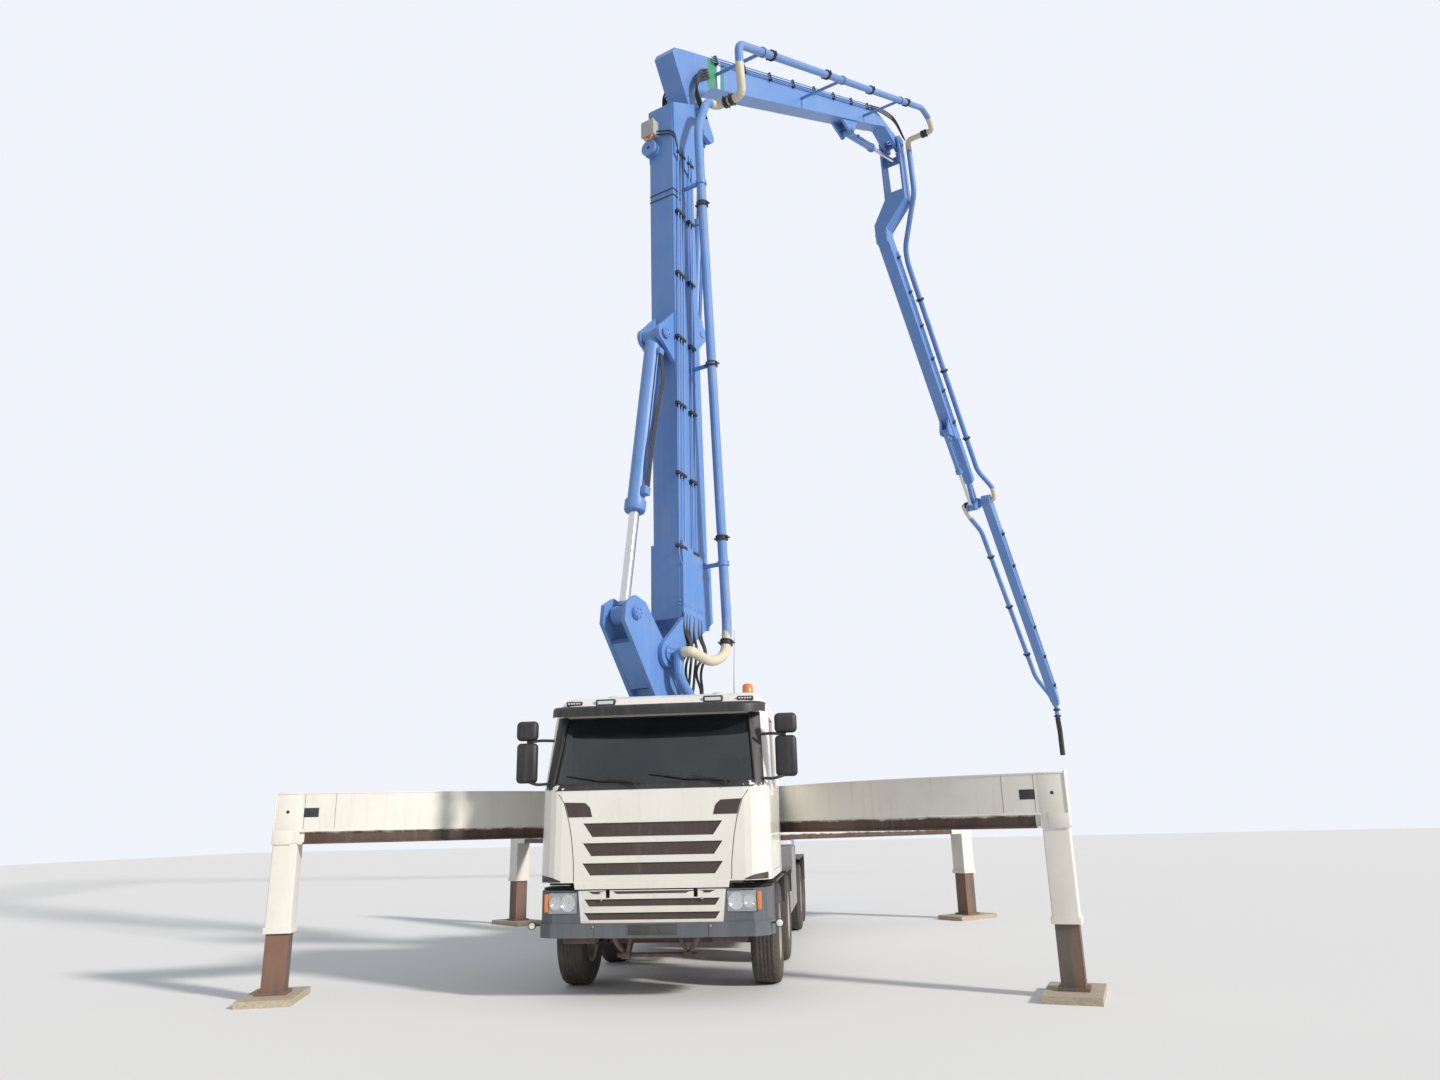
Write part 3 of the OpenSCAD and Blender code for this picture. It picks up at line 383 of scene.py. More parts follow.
def weathered(t, colour, faded=None, **values):
    """The weathering group in a material's tree, its inputs set by name; an underscore stands for a space."""
    g = t.nodes.new("ShaderNodeGroup")
    g.node_tree = WEATHER
    for label, value in dict(values, Colour=(*colour, 1), Faded=(*(faded or colour), 1)).items():
        g.inputs[label.replace("_", " ")].default_value = value
    return g.outputs


def finish(name, colour, wear, faded=None, under=(0.16, 0.08, 0.05), dust_colour=(0.36, 0.32, 0.27),
           metal=0.0, coat=0.0, bump=0.15, pattern=None):
    """A painted, moulded or metal surface; wear: dust, splash, chips, roughness; pattern(t, colour) recolours it."""
    m = bpy.data.materials.new(name)
    m.use_nodes = True
    t = m.node_tree
    bsdf = t.nodes["Principled BSDF"]
    dust, splash, chips, rough = wear
    coated = weathered(t, colour, faded, Under=(*under, 1), Dust_Colour=(*dust_colour, 1),
                       Dust=dust, Splash=splash, Chips=chips, Roughness=rough)
    shade, height = coated["Colour"], coated["Height"]
    if pattern:
        shade, relief = pattern(t, shade)
        height = height if relief is None else relief
    b = t.nodes.new("ShaderNodeBump")
    b.inputs["Strength"].default_value = bump
    b.inputs["Distance"].default_value = 0.002
    for source, socket in ((shade, "Base Color"), (coated["Roughness"], "Roughness"), (b.outputs["Normal"], "Normal"),
                           (metal, "Metallic"), (coat, "Coat Weight")):
        feed(t, source, bsdf.inputs[socket])
    t.links.new(height, b.inputs["Height"])
    return m


def glazing(name, tint, alpha, rough=0.05):
    """Tinted glass, seen through by its alpha."""
    m = bpy.data.materials.new(name)
    m.use_nodes = True
    t = m.node_tree
    bsdf = t.nodes["Principled BSDF"]
    film = remap(t, noise(t, 3.0, 5.0), 0.45, 0.75, rough, rough + 0.12)
    smeared = tuple(0.75 * c + 0.02 for c in tint) + (1,)
    tinted = blend_colour(t, remap(t, noise(t, 1.4, 4.0), 0.4, 0.7), (*tint, 1), smeared)
    for source, socket in ((film, "Roughness"), (tinted, "Base Color"), (alpha, "Alpha"), (0.6, "Coat Weight"),
                           (0.03, "Coat Roughness")):
        feed(t, source, bsdf.inputs[socket])
    m.surface_render_method = "BLENDED"
    return m


def white_front_pattern(t, shade):
    """White between the lamps and above the bumper bar, the bar's own colour elsewhere."""
    half_width, widening, bar_top, front = 0.655, 0.10, 0.762, -3.5
    x, y, z = object_xyz(t)
    inside = maths(t, "LESS_THAN", maths(t, "SUBTRACT", maths(t, "ABSOLUTE", x), times(t, z, widening)), half_width)
    mask = times(t, inside, maths(t, "GREATER_THAN", z, bar_top), maths(t, "LESS_THAN", y, front))
    white = weathered(t, (0.80, 0.78, 0.72), Dust=0.25, Splash=0.25, Chips=0.05)["Colour"]
    return blend_colour(t, mask, shade, white), None


def flange_pattern(level):
    """A beam whose lowest strip, below level, is brown with oil and rust, with a ragged edge."""
    def build(t, shade):
        """The strip's mask is object Z against the level, pushed up and down by a noise."""
        soft, drop, leg_x = 0.012, 0.16, 3.93
        x, _, z = object_xyz(t)
        ragged = maths(t, "ADD", z, remap(t, noise(t, 6.0, 6.0, 0.7, stretch=(1, 1, 0.2)), 0.3, 0.7, -0.014, 0.014))
        strip = times(t, remap(t, ragged, level + soft, level - soft), maths(t, "GREATER_THAN", z, level - drop),
                      maths(t, "LESS_THAN", maths(t, "ABSOLUTE", x), leg_x))
        brown = weathered(t, (0.045, 0.022, 0.015), (0.12, 0.07, 0.045), Dust=0.25, Splash=0.0, Chips=0.6)["Colour"]
        return blend_colour(t, strip, shade, brown), None
    return build


def worn_pattern(t, shade):
    """Rust with a rubbed dark steel streak, by a noise stretched eight times along object Z."""
    streak = remap(t, noise(t, 5.0, 4.0, 0.6, stretch=(1, 1, 0.12)), 0.50, 0.60)
    dark = weathered(t, (0.050, 0.042, 0.040), (0.075, 0.060, 0.055), Dust=0.2, Splash=0.2, Chips=0.5)["Colour"]
    return blend_colour(t, streak, shade, dark), None


def elbow_pattern(centres):
    """A pipe that is cream within a reach of each centre, where its elbows are, and blue between."""
    def build(t, shade):
        """The mask is the largest of the tests distance < reach."""
        here = t.nodes.new("ShaderNodeTexCoord").outputs["Object"]
        mask = 0.0
        for centre, reach in centres:
            d = t.nodes.new("ShaderNodeVectorMath")
            d.operation = "DISTANCE"
            t.links.new(here, d.inputs[0])
            d.inputs[1].default_value = tuple(centre)
            mask = maths(t, "MAXIMUM", mask, maths(t, "LESS_THAN", d.outputs["Value"], reach))
        cream = weathered(t, (0.66, 0.60, 0.44), (0.58, 0.52, 0.38), Dust=0.35, Splash=0.0, Chips=0.5)["Colour"]
        return blend_colour(t, mask, shade, cream), None
    return build


def mesh_pattern(t, shade):
    """A woven grille: dark brown wires on a near-black ground, by two crossed waves on object X and Z."""
    waves_a_metre = 330.0
    x, _, z = object_xyz(t)
    a, b = (maths(t, "SINE", times(t, maths(t, op, x, z), waves_a_metre)) for op in ("ADD", "SUBTRACT"))
    mask = remap(t, maths(t, "MAXIMUM", a, b), 0.55, 0.8)
    return blend_colour(t, mask, (0.012, 0.008, 0.007, 1), shade), mask


def plank_pattern(t, shade):
    """Wood grain: a noise stretched along the board, darker in its troughs."""
    grain = noise(t, 1.0, 7.0, 0.7, stretch=(9.0, 60.0, 60.0))
    return blend_colour(t, remap(t, grain, 0.35, 0.65), shade, (0.36, 0.29, 0.20, 1)), grain


WARM_WHITE, BEAM_WHITE, BEAM_FADED = (0.80, 0.78, 0.72), (0.76, 0.74, 0.68), (0.70, 0.67, 0.60)
BLUE, PALE_BLUE, BEAM_DUST = (0.095, 0.225, 0.54), (0.14, 0.29, 0.61), (0.42, 0.36, 0.30)
FRONT_FLANGE, REAR_FLANGE = 1.712, 1.530
cab_paint = finish("Cab paint warm white", WARM_WHITE, (0.16, 0.22, 0.05, 0.28), (0.74, 0.72, 0.66), coat=0.4)
beam_paint = finish("Outrigger paint off white", (0.74, 0.72, 0.66), (0.5, 0.35, 0.7, 0.5), (0.66, 0.63, 0.56),
                    dust_colour=(0.42, 0.33, 0.26))
front_beam_paint = finish("Front outrigger paint", BEAM_WHITE, (0.28, 0.0, 0.35, 0.5), BEAM_FADED,
                          dust_colour=BEAM_DUST, pattern=flange_pattern(FRONT_FLANGE))
rear_beam_paint = finish("Rear outrigger paint", BEAM_WHITE, (0.28, 0.0, 0.35, 0.5), BEAM_FADED,
                         dust_colour=BEAM_DUST, pattern=flange_pattern(REAR_FLANGE))
boom_paint = finish("Boom paint blue", BLUE, (0.3, 0.1, 0.25, 0.42), PALE_BLUE, dust_colour=(0.34, 0.36, 0.38))
frame_paint = finish("Frame paint dark", (0.035, 0.03, 0.03), (0.8, 0.5, 0.4, 0.6), (0.05, 0.04, 0.035),
                     dust_colour=(0.20, 0.14, 0.11))
bumper_paint = finish("Bumper slate and white", (0.048, 0.070, 0.098), (0.16, 0.16, 0.1, 0.42), (0.060, 0.083, 0.110),
                      pattern=white_front_pattern)
moulding = finish("Black moulding", (0.012, 0.012, 0.014), (0.12, 0.15, 0.0, 0.5), (0.02, 0.02, 0.022))
rubber = finish("Tyre rubber", (0.016, 0.015, 0.015), (0.4, 0.22, 0.0, 0.78), (0.026, 0.024, 0.022),
                dust_colour=(0.20, 0.17, 0.14))
hose_rubber = finish("Hose rubber", (0.014, 0.014, 0.015), (0.04, 0.0, 0.0, 0.6))
iron = finish("Engine iron", (0.10, 0.10, 0.10), (0.6, 0.3, 0.2, 0.6))
steel = finish("Bare steel", (0.42, 0.42, 0.42), (0.3, 0.1, 0.1, 0.38), metal=1.0)
chrome = finish("Piston rod chrome", (0.62, 0.63, 0.65), (0.06, 0.0, 0.0, 0.16), metal=1.0)
wheel_paint = finish("Wheel paint grey", (0.42, 0.42, 0.40), (0.6, 0.4, 0.5, 0.5), (0.35, 0.34, 0.32))
tank_paint = finish("Tank grey", (0.22, 0.23, 0.24), (0.5, 0.35, 0.3, 0.45))
trim_cloth = finish("Cab trim cloth", (0.05, 0.052, 0.058), (0.1, 0.0, 0.0, 0.85))
green_band = finish("Band green", (0.03, 0.25, 0.12), (0.25, 0.0, 0.2, 0.42))
white_band = finish("Band white", (0.72, 0.72, 0.70), (0.3, 0.0, 0.2, 0.45))
lens_orange = finish("Indicator orange", (0.75, 0.20, 0.02), (0.1, 0.05, 0.0, 0.2), coat=0.5)
reflector = finish("Lamp bowl", (0.72, 0.73, 0.75), (0.05, 0.0, 0.0, 0.14), metal=1.0)
lamp_white = finish("Lamp housing white", (0.75, 0.75, 0.74), (0.1, 0.0, 0.0, 0.3), coat=0.3)
mirror = finish("Mirror face", (0.68, 0.70, 0.72), (0.03, 0.0, 0.0, 0.05), metal=1.0)
grille = finish("Grille mesh brown", (0.085, 0.055, 0.045), (0.3, 0.1, 0.0, 0.6), bump=0.6, pattern=mesh_pattern)
boards = finish("Spreader boards cream", (0.60, 0.54, 0.40), (0.5, 0.3, 0.9, 0.8), (0.52, 0.46, 0.34),
                under=(0.25, 0.20, 0.15), bump=0.5, pattern=plank_pattern)
rust = finish("Leg steel rusty brown", (0.15, 0.062, 0.038), (0.25, 0.3, 0.6, 0.62), (0.20, 0.095, 0.060),
              under=(0.24, 0.16, 0.12), dust_colour=(0.28, 0.20, 0.15), pattern=worn_pattern)
glass = glazing("Cab glass", (0.012, 0.016, 0.02), 0.72)
lens = glazing("Clear lens", (0.75, 0.78, 0.80), 0.28)
USUAL_SLOT = {material.name: slot for slot, materials in {
    "black_plastic": (moulding, grille, frame_paint, mirror), "boom_blue": (boom_paint, green_band, white_band),
    "cab_white": (cab_paint,), "beam_white": (front_beam_paint,), "rod_chrome": (steel, reflector),
    "glass": (lens, lens_orange, lamp_white), "hose": (hose_rubber,), "tyre": (rubber,)}.items()
    for material in materials}

elbow_centres = {
    "pipe_1": [(on(1, 0.10, -0.35, 0.60), 0.62), (on_pin(P1, 0.75), 0.24)],
    "pipe_2": [(on(2, 0.0, 0.10, 1.05), 0.45), (on_pin(P2, 1.08), 0.34)],
    "pipe_3": [(on_pin(P2, 0.55), 0.30), (from_pin(P3, A3B, -0.10, 0.05, 0.0), 0.26)],
    "pipe_4": [(on(4, 0.15, 0.05, -0.85), 0.36)],
}
painted_nodes = [
    (frame_paint, "frame_rails front_axles rear_axles knuckle_1l knuckle_1r knuckle_2l knuckle_2r"),
    (iron, "engine"), (bumper_paint, "front_bumper"), (moulding, "fenders cab_trim"), (beam_paint, "outrigger_frame"),
    (front_beam_paint, "beam_front_left beam_front_right"), (rear_beam_paint, "beam_rear_left beam_rear_right"),
    (boom_paint, "pump_unit hopper turret boom_1 boom_2 boom_3 boom_4 barrel_1 barrel_2 barrel_3 barrel_4"),
    (tank_paint, "side_tanks"), (boards, "spreader_mats"), (cab_paint, "cab_shell door_left door_right"),
    (glass, "cab_glass door_glass_left door_glass_right"), (trim_cloth, "cab_interior"),
    (chrome, "rod_1 rod_2 rod_3 rod_4"),
    (rust, "leg_front_left leg_front_right leg_rear_left leg_rear_right"), (hose_rubber, "end_hose"),
]
for node, centres in elbow_centres.items():
    paint = finish(f"Delivery {node}", BLUE, (0.55, 0.0, 0.9, 0.5), PALE_BLUE, dust_colour=(0.40, 0.40, 0.38),
                   under=(0.30, 0.28, 0.26), pattern=elbow_pattern(centres))
    painted_nodes.append((paint, node))
for material, names in painted_nodes:
    for name in names.split():
        nodes[name].data.materials.clear()
        nodes[name].data.materials.append(material)


# Wheels
AXLES = (-2.2, -0.26, 3.5, 4.85)
WHEEL_Z, HALF_TYRE, NUT_CIRCLE = 0.535, 0.1575, 0.1675
SINGLE_X, INNER_X, OUTER_X = 1.07, 0.7375, 1.0925
GROOVES, GROOVE_DEPTH, GROOVE_HALF = (-0.062, -0.021, 0.021, 0.062), 0.011, 0.0045
LUGS, LUG_DEPTH, TURNS = 50, 0.010, 150


def tyre(parts, x, y):
    """A tyre turned round its axle: a section from bead to bead, wavy grooves and shoulder lugs sunk in its tread."""
    hw = HALF_TYRE
    bead = np.array([[0.280, -hw + .030], [0.300, -hw + .018], [0.345, -hw + .006], [0.420, -hw], [0.480, -hw + .004],
                     [0.512, -hw + .016], [0.528, -hw + .034], [0.534, -hw + .060]])
    tread = [[0.535, w] for w in np.linspace(-hw + .066, hw - .066, 25)]
    section = np.array([*bead, *tread, *[[r, -w] for r, w in bead[::-1]]])
    u = np.linspace(0, 2 * PI, TURNS, endpoint=False)[:, None]
    r, w = (np.tile(column, (TURNS, 1)) for column in section.T)
    in_tread = (np.abs(w) < hw - 0.05) & (r > 0.53)
    wave = 0.006 * np.sin(LUGS * u)
    for groove in GROOVES:
        r -= GROOVE_DEPTH * np.exp(-((w - groove - wave) / GROOVE_HALF) ** 2) * in_tread
    lug = (np.sin(LUGS * u + 8 * np.sign(w)) > 0.55) & (np.abs(w) > hw - 0.062) & (r > 0.49)
    r -= LUG_DEPTH * lug
    parts.loft(np.stack([x + w, y + r * np.cos(u), WHEEL_Z + r * np.sin(u)], -1), close=True)


RIM = [(0.284, -0.135), (0.300, -0.140), (0.300, -0.128), (0.286, -0.120), (0.286, 0.118), (0.300, 0.128),
       (0.300, 0.141), (0.280, 0.138), (0.262, 0.110)]
FRONT_DISC = [(0.250, 0.050), (0.225, 0.042), (0.200, 0.062), (0.140, 0.066), (0.125, 0.080), (0.110, 0.112),
              (0.060, 0.120), (0.001, 0.121), (0.001, 0.02), (0.20, 0.015), (0.262, -0.02), (0.262, -0.11)]
REAR_DISC = [(0.255, -0.050), (0.235, -0.090), (0.150, -0.094), (0.135, -0.080), (0.130, 0.020), (0.110, 0.040),
             (0.001, 0.042), (0.001, -0.15), (0.20, -0.14), (0.262, -0.135)]
NUT = [(0.0, 0.0), (0.019, 0.0), (0.019, 0.016), (0.012, 0.030), (0.0, 0.031)]
for i, y in enumerate(AXLES):
    for tag, side in (("l", 1), ("r", -1)):
        tread, disc = Parts(), Parts()
        if i < 2:
            tyres, profile, nut_x = (SINGLE_X,), FRONT_DISC, 0.066
        else:
            tyres, profile, nut_x = (INNER_X, OUTER_X), REAR_DISC, -0.092
        for x in tyres:
            tyre(tread, side * x, y)
        x = side * tyres[-1]
        turned(disc, RIM + profile, (x, y, WHEEL_Z), (side, 0, 0), 48, close=True)
        for a in [2 * PI * k / 10 for k in range(10)]:
            nut = (x + side * nut_x, y + NUT_CIRCLE * math.cos(a), WHEEL_Z + NUT_CIRCLE * math.sin(a))
            turned(disc, NUT, nut, (side, 0, 0), 6)
        body = f"roller_{i + 1}{tag}"
        tread.piece(f"tyre_{i + 1}{tag}", rubber, body, stands_for=(f"wheel_{i + 1}{tag}",))
        disc.piece(f"disc_{i + 1}{tag}", wheel_paint, body)


# Cab front
cab_skin, bumper_skin = face_of("cab_shell"), face_of("front_bumper")
FLOOR_LINE, SCREEN_FOOT = 1.15, 2.10


def slots(parts, rows, widest, depth, columns, across_rows, thick):
    """Slot floors between heights z0 and z1, narrower at the foot; depth(z) is the y of their face."""
    for z0, z1 in rows:
        def floor_of_slot(u, v, z0=z0, z1=z1):
            """x = (widest - 0.7 (z1 - z)) u on the height z of v."""
            z = z0 + (z1 - z0) * v
            return np.stack([(widest - 0.7 * (z1 - z)) * u, depth(z) + 0 * u, z], -1)
        sheet_grid(parts, floor_of_slot, np.linspace(-1, 1, columns), np.linspace(0, 1, across_rows), thick)


mesh_parts = Parts()
slots(mesh_parts, ((1.225, 1.335), (1.415, 1.535), (1.605, 1.735)), 0.735,
      lambda z: -3.550 + 0.040 * (z - FLOOR_LINE) / (SCREEN_FOOT - FLOOR_LINE) + 0.014, 24, 4, 0.004)
mesh_parts.piece("cab_grilles", grille, "cab")


def front_lip(u, v):
    """A white skirt under the cab's front edge: forwards from the floor line, then down in front of the lower panel."""
    y = np.interp(v, (0, 0.3, 0.42, 1), (-3.545, -3.582, -3.590, -3.592))
    z = np.interp(v, (0, 0.3, 0.42, 1), (1.160, 1.156, 1.148, 1.088))
    return np.stack([(0.815 - 0.02 * v) * u, y, z], -1)


skirt = Parts()
sheet_grid(skirt, front_lip, np.linspace(-1, 1, 25), np.linspace(0, 1, 13), 0.003)
skirt.piece("front_skirt", cab_paint, "cab")


def mirror_x(sx, points):
    """Points with their x turned to one side."""
    return [(sx * p[0], *p[1:]) for p in points]


for sx, side in ((-1, "right"), (1, "left")):
    intake = Parts()
    pressed(intake, cab_skin, mirror_x(sx, [(0.940, 1.955), (0.915, 1.88), (0.893, 1.803)]),
            mirror_x(sx, [(0.72, 1.948), (0.665, 1.90), (0.640, 1.803)]), 0.003, 0.005)
    intake.piece(f"corner_intake_{side}", grille, "cab")

lower = Parts()
pressed(lower, bumper_skin, [(-0.60, 1.040), (0.60, 1.040)], [(-0.66, 1.066), (0.66, 1.066)], 0.002, 0.003, 3, 16)
slots(lower, ((0.792, 0.858), (0.922, 0.988)), 0.700, lambda z: -3.566, 24, 3, 0.003)
lower.piece("lower_grilles", grille, "chassis")


def visor(u, v):
    """A shade over the screen: its profile (y, z) goes forwards and turns down, wrapped back at both corners."""
    y = np.interp(v, (0, 0.15, 0.62, 0.72, 1), (-3.135, -3.20, -3.425, -3.455, -3.462))
    z = np.interp(v, (0, 0.15, 0.62, 0.72, 1), (2.985, 2.984, 2.966, 2.945, 2.862))
    end = np.clip((np.abs(u) - 0.78) / 0.22, 0, 1)
    back = 0.045 * u ** 2 + 0.30 * (1 - np.sqrt(1 - 0.985 * end ** 2))
    return np.stack([1.185 * u, y + back * np.clip((v - 0.02) * 3, 0, 1), z + 0.02 * v * end ** 2], -1)


trim = Parts()
for sx in (-1, 1):
    bent_tube(trim, mirror_x(sx, [(1.13, -3.40, 2.16), (1.28, -3.42, 2.15), (1.40, -3.36, 2.19)]), 0.05, 0.016, 10)
    bent_tube(trim, mirror_x(sx, [(1.12, -3.32, 2.62), (1.26, -3.36, 2.625), (1.42, -3.35, 2.61)]), 0.05, 0.016, 10)
    block(trim, (sx * 1.30, -3.400, 2.172), (sx * 1.53, -3.290, 2.60), 0.045, 4)
    block(trim, (sx * 1.30, -3.400, 2.625), (sx * 1.54, -3.290, 2.838), 0.050, 4)
sheet_grid(trim, visor, np.linspace(-1, 1, 61), np.linspace(0, 1, 21), 0.010)
PANEL_EDGE = [(1.075, 2.107), (1.0, 2.03), (0.945, 1.95), (0.885, 1.75), (0.851, 1.564), (0.828, 1.35), (0.821, 1.165)]
SCREEN_EDGE = [(1.084 - 0.0959 * (z - 2.14), z) for z in np.linspace(2.14, 2.865, 9)]
for sx in (-1, 1):
    tube(trim, on_front(cab_skin, mirror_x(sx, PANEL_EDGE), -0.0015), 0.0045, 6)
    pressed(trim, cab_skin, mirror_x(sx, [(1.175, 2.09), (1.165, 2.3), (1.13, 2.88)]),
            mirror_x(sx, [(1.085, 2.09), (1.075, 2.3), (1.015, 2.88)]), 0.004, 0.006)
    pressed(trim, cab_skin, mirror_x(sx, [(0.96, 1.168), (1.06, 1.205), (1.19, 1.225)]),
            mirror_x(sx, [(0.96, 1.158), (1.06, 1.158), (1.19, 1.158)]), 0.006, 0.010)
    tube(trim, on_front(cab_skin, mirror_x(sx, SCREEN_EDGE), -0.006), 0.016, 8)
tube(trim, on_front(cab_skin, [(x, 2.136) for x in np.linspace(-1.085, 1.085, 17)], -0.004), 0.014, 8)
pressed(trim, cab_skin, [(-1.13, 2.075), (1.13, 2.075)], [(-1.08, 2.136), (1.08, 2.136)], 0.004, 0.006, 3, 24)
for tip_x, root_x in ((-0.95, -0.18), (-0.05, 0.78)):
    root, tip = np.array([root_x, -3.535, 2.095]), np.array([tip_x, -3.445, 2.235])
    bent_tube(trim, [root, root + (0.0, -0.01, 0.05), (root + tip) / 2 + np.array([0.05, -0.012, 0.045])], 0.05, 0.011)
    tube(trim, [tip, (tip + root) / 2 + (0.0, 0.006, 0.012), root + (0.06, 0.02, 0.045)], 0.008, 8)
trim.piece("cab_fittings", moulding, "cab", stands_for=("cab_trim",))

faces = Parts()
mirrored_blocks(faces, ((1.325, -3.2915, 2.21), (1.505, -3.2865, 2.565), 0.0024, 2),
                ((1.330, -3.2915, 2.665), (1.510, -3.2865, 2.800), 0.0022, 2))
faces.piece("mirror_faces", mirror, "cab")

lamps, bowls, orange, clear, stalks, bulbs = (Parts() for _ in range(6))
FORWARDS = (0, -1, 0)
for sx in (-1, 1):
    for x, r in ((0.865, 0.078), (0.995, 0.062)):
        bowl = [(0.020 + (r - 0.020) * k ** 0.6, 0.004 + 0.030 * k) for k in np.linspace(0, 1, 8)]
        turned(bowls, [(0.001, 0.001), *bowl, (r + 0.006, 0.034), (r + 0.006, 0.0)],
               (sx * x, -3.548, 0.955), FORWARDS, 28)
    block(orange, (sx * 1.075, -3.572, 0.868), (sx * 1.120, -3.552, 1.045), 0.008, 3)
    block(clear, (sx * 0.775, -3.582, 0.856), (sx * 1.068, -3.576, 1.054), 0.0028, 2)
    for place in ((0.60, -3.598, 0.725), (0.52, -3.585, 0.985)):
        turned(lamps, [(0.001, -0.01), (0.013, -0.008), (0.013, 0.004), (0.009, 0.009), (0.001, 0.010)],
               (sx * place[0], *place[1:]), FORWARDS, 12)
    bent_tube(stalks, mirror_x(sx, [(1.19, -3.36, 0.73), (1.27, -3.37, 0.73), (1.285, -3.40, 0.73)]), 0.03, 0.010)
    turned(stalks, [(0.001, -0.03), (0.036, -0.026), (0.042, 0.0), (0.042, 0.012), (0.036, 0.014), (0.001, 0.010)],
           (sx * 1.285, -3.42, 0.73), FORWARDS, 20)
    turned(bulbs, [(0.001, 0.0), (0.034, 0.0), (0.030, 0.008), (0.001, 0.013)],
           (sx * 1.285, -3.4325, 0.73), FORWARDS, 20)
bowls.piece("headlamp_bowls", reflector, "chassis")
orange.piece("indicators", lens_orange, "chassis")
clear.piece("headlamp_lenses", lens, "chassis")
stalks.piece("marker_stalks", moulding, "chassis")
bulbs.piece("marker_lenses", lamp_white, "chassis")
lamps.piece("bumper_bolts", steel, "chassis")

seams, under = Parts(), Parts()
for sx in (-1, 1):
    tube(seams, on_front(bumper_skin, [(sx * 0.585, z) for z in np.linspace(0.625, 0.755, 6)], 0.0005), 0.004, 6)
    block(seams, (sx * 0.075, -3.5975, 0.672), (sx * 0.105, -3.589, 0.700), 0.003, 2)
block(seams, (-0.235, -3.5955, 0.652), (0.235, -3.589, 0.733), 0.0025, 2)
block(seams, (-0.05, -3.5975, 0.657), (0.05, -3.5945, 0.728), 0.0012, 2)
seams.piece("bumper_seams", moulding, "chassis")
for sx in (-1, 1):
    bent_tube(under, mirror_x(sx, [(0.47, -3.40, 0.74), (0.42, -3.33, 0.55), (0.33, -3.24, 0.43)]), 0.06, 0.026, 10)
    bent_tube(under, mirror_x(sx, [(0.24, -3.42, 0.74), (0.27, -3.34, 0.55), (0.32, -3.25, 0.43)]), 0.06, 0.020, 10)
    block(under, (sx * 0.28, -3.30, 0.385), (sx * 0.37, -3.20, 0.455), 0.012, 3)
    block(under, (sx * 0.60, -3.46, 0.555), (sx * 0.95, -3.30, 0.640), 0.015, 3)
tube(under, [(-0.42, -3.24, 0.42), (0.42, -3.24, 0.42)], 0.024, 12)
block(under, (-0.52, -3.46, 0.600), (0.52, -3.36, 0.655), 0.012, 3)
under.piece("undercarriage_struts", frame_paint, "chassis")

# Front outrigger beams
BEAM_CENTRE, BEAM_FACE, LEG_ANGLE, LEG_RADIUS = (5.655, 2.010), 5.620, 253.96, 5.483
SLEEVE_ANGLE, END_ANGLE, BEAM_STEPS = 204.0, 252.62, 90
BEAM_SECTION = np.array([
    (5.320, 2.126), (5.3145, 2.126), (5.3145, 2.140), (5.6255, 2.140), (5.6255, 2.126), (5.620, 2.126), (5.620, 1.738),
    (5.6255, 1.734), (5.6255, 1.720), (5.590, 1.716), (5.590, 1.612), (5.6255, 1.610), (5.6255, 1.590), (5.3145, 1.590),
    (5.3145, 1.610), (5.350, 1.612), (5.350, 1.716), (5.3145, 1.720), (5.3145, 1.734), (5.320, 1.738)])
LEG_PLATES = (((-0.140, 0.126, 1.600), (0.131, 0.137, 2.132)), ((-0.140, -0.163, 1.600), (0.131, -0.128, 2.132)),
              ((-0.142, -0.168, 2.124), (0.134, 0.1425, 2.140)), ((0.130, -0.170, 1.600), (0.143, 0.145, 2.160)),
              ((-0.060, 0.128, 1.590), (0.140, 0.146, 1.735)), ((-0.060, -0.168, 1.590), (0.140, -0.128, 1.735)))


def beam_frame(sx, angle, radius, z):
    """Axes (along the beam, outwards, up) and the point at an angle and radius round the beam's centre of curvature."""
    radial = np.array([sx * along(angle)[0], along(angle)[1], 0.0])
    tangent = np.array([sx * across(angle)[0], across(angle)[1], 0.0])
    return np.array([tangent, radial, UP]), np.array([sx * BEAM_CENTRE[0], BEAM_CENTRE[1], z]) + radial * radius


def square_tube(parts, half, wall, z0, z1, corner, turn, origin):
    """An upright tube whose outline is x = (half - corner) sign + corner cos a, and the same in y with sin a."""
    a = np.radians(np.concatenate([np.linspace(90 * k, 90 * k + 90, 5) for k in range(4)]))
    quadrant = np.repeat(np.radians([45, 135, 225, 315]), 5)
    sign = np.sign(np.stack([np.cos(quadrant), np.sin(quadrant)], -1))
    rings = []
    for h, z in ((half, z0), (half, z1), (half - wall, z1), (half - wall, z0)):
        outline = sign * (h - corner) + corner * np.stack([np.cos(a), np.sin(a)], -1)
        rings.append(np.column_stack([outline, np.full(len(a), z)]))
    parts.loft(np.stack(rings) @ turn + origin, close=True)


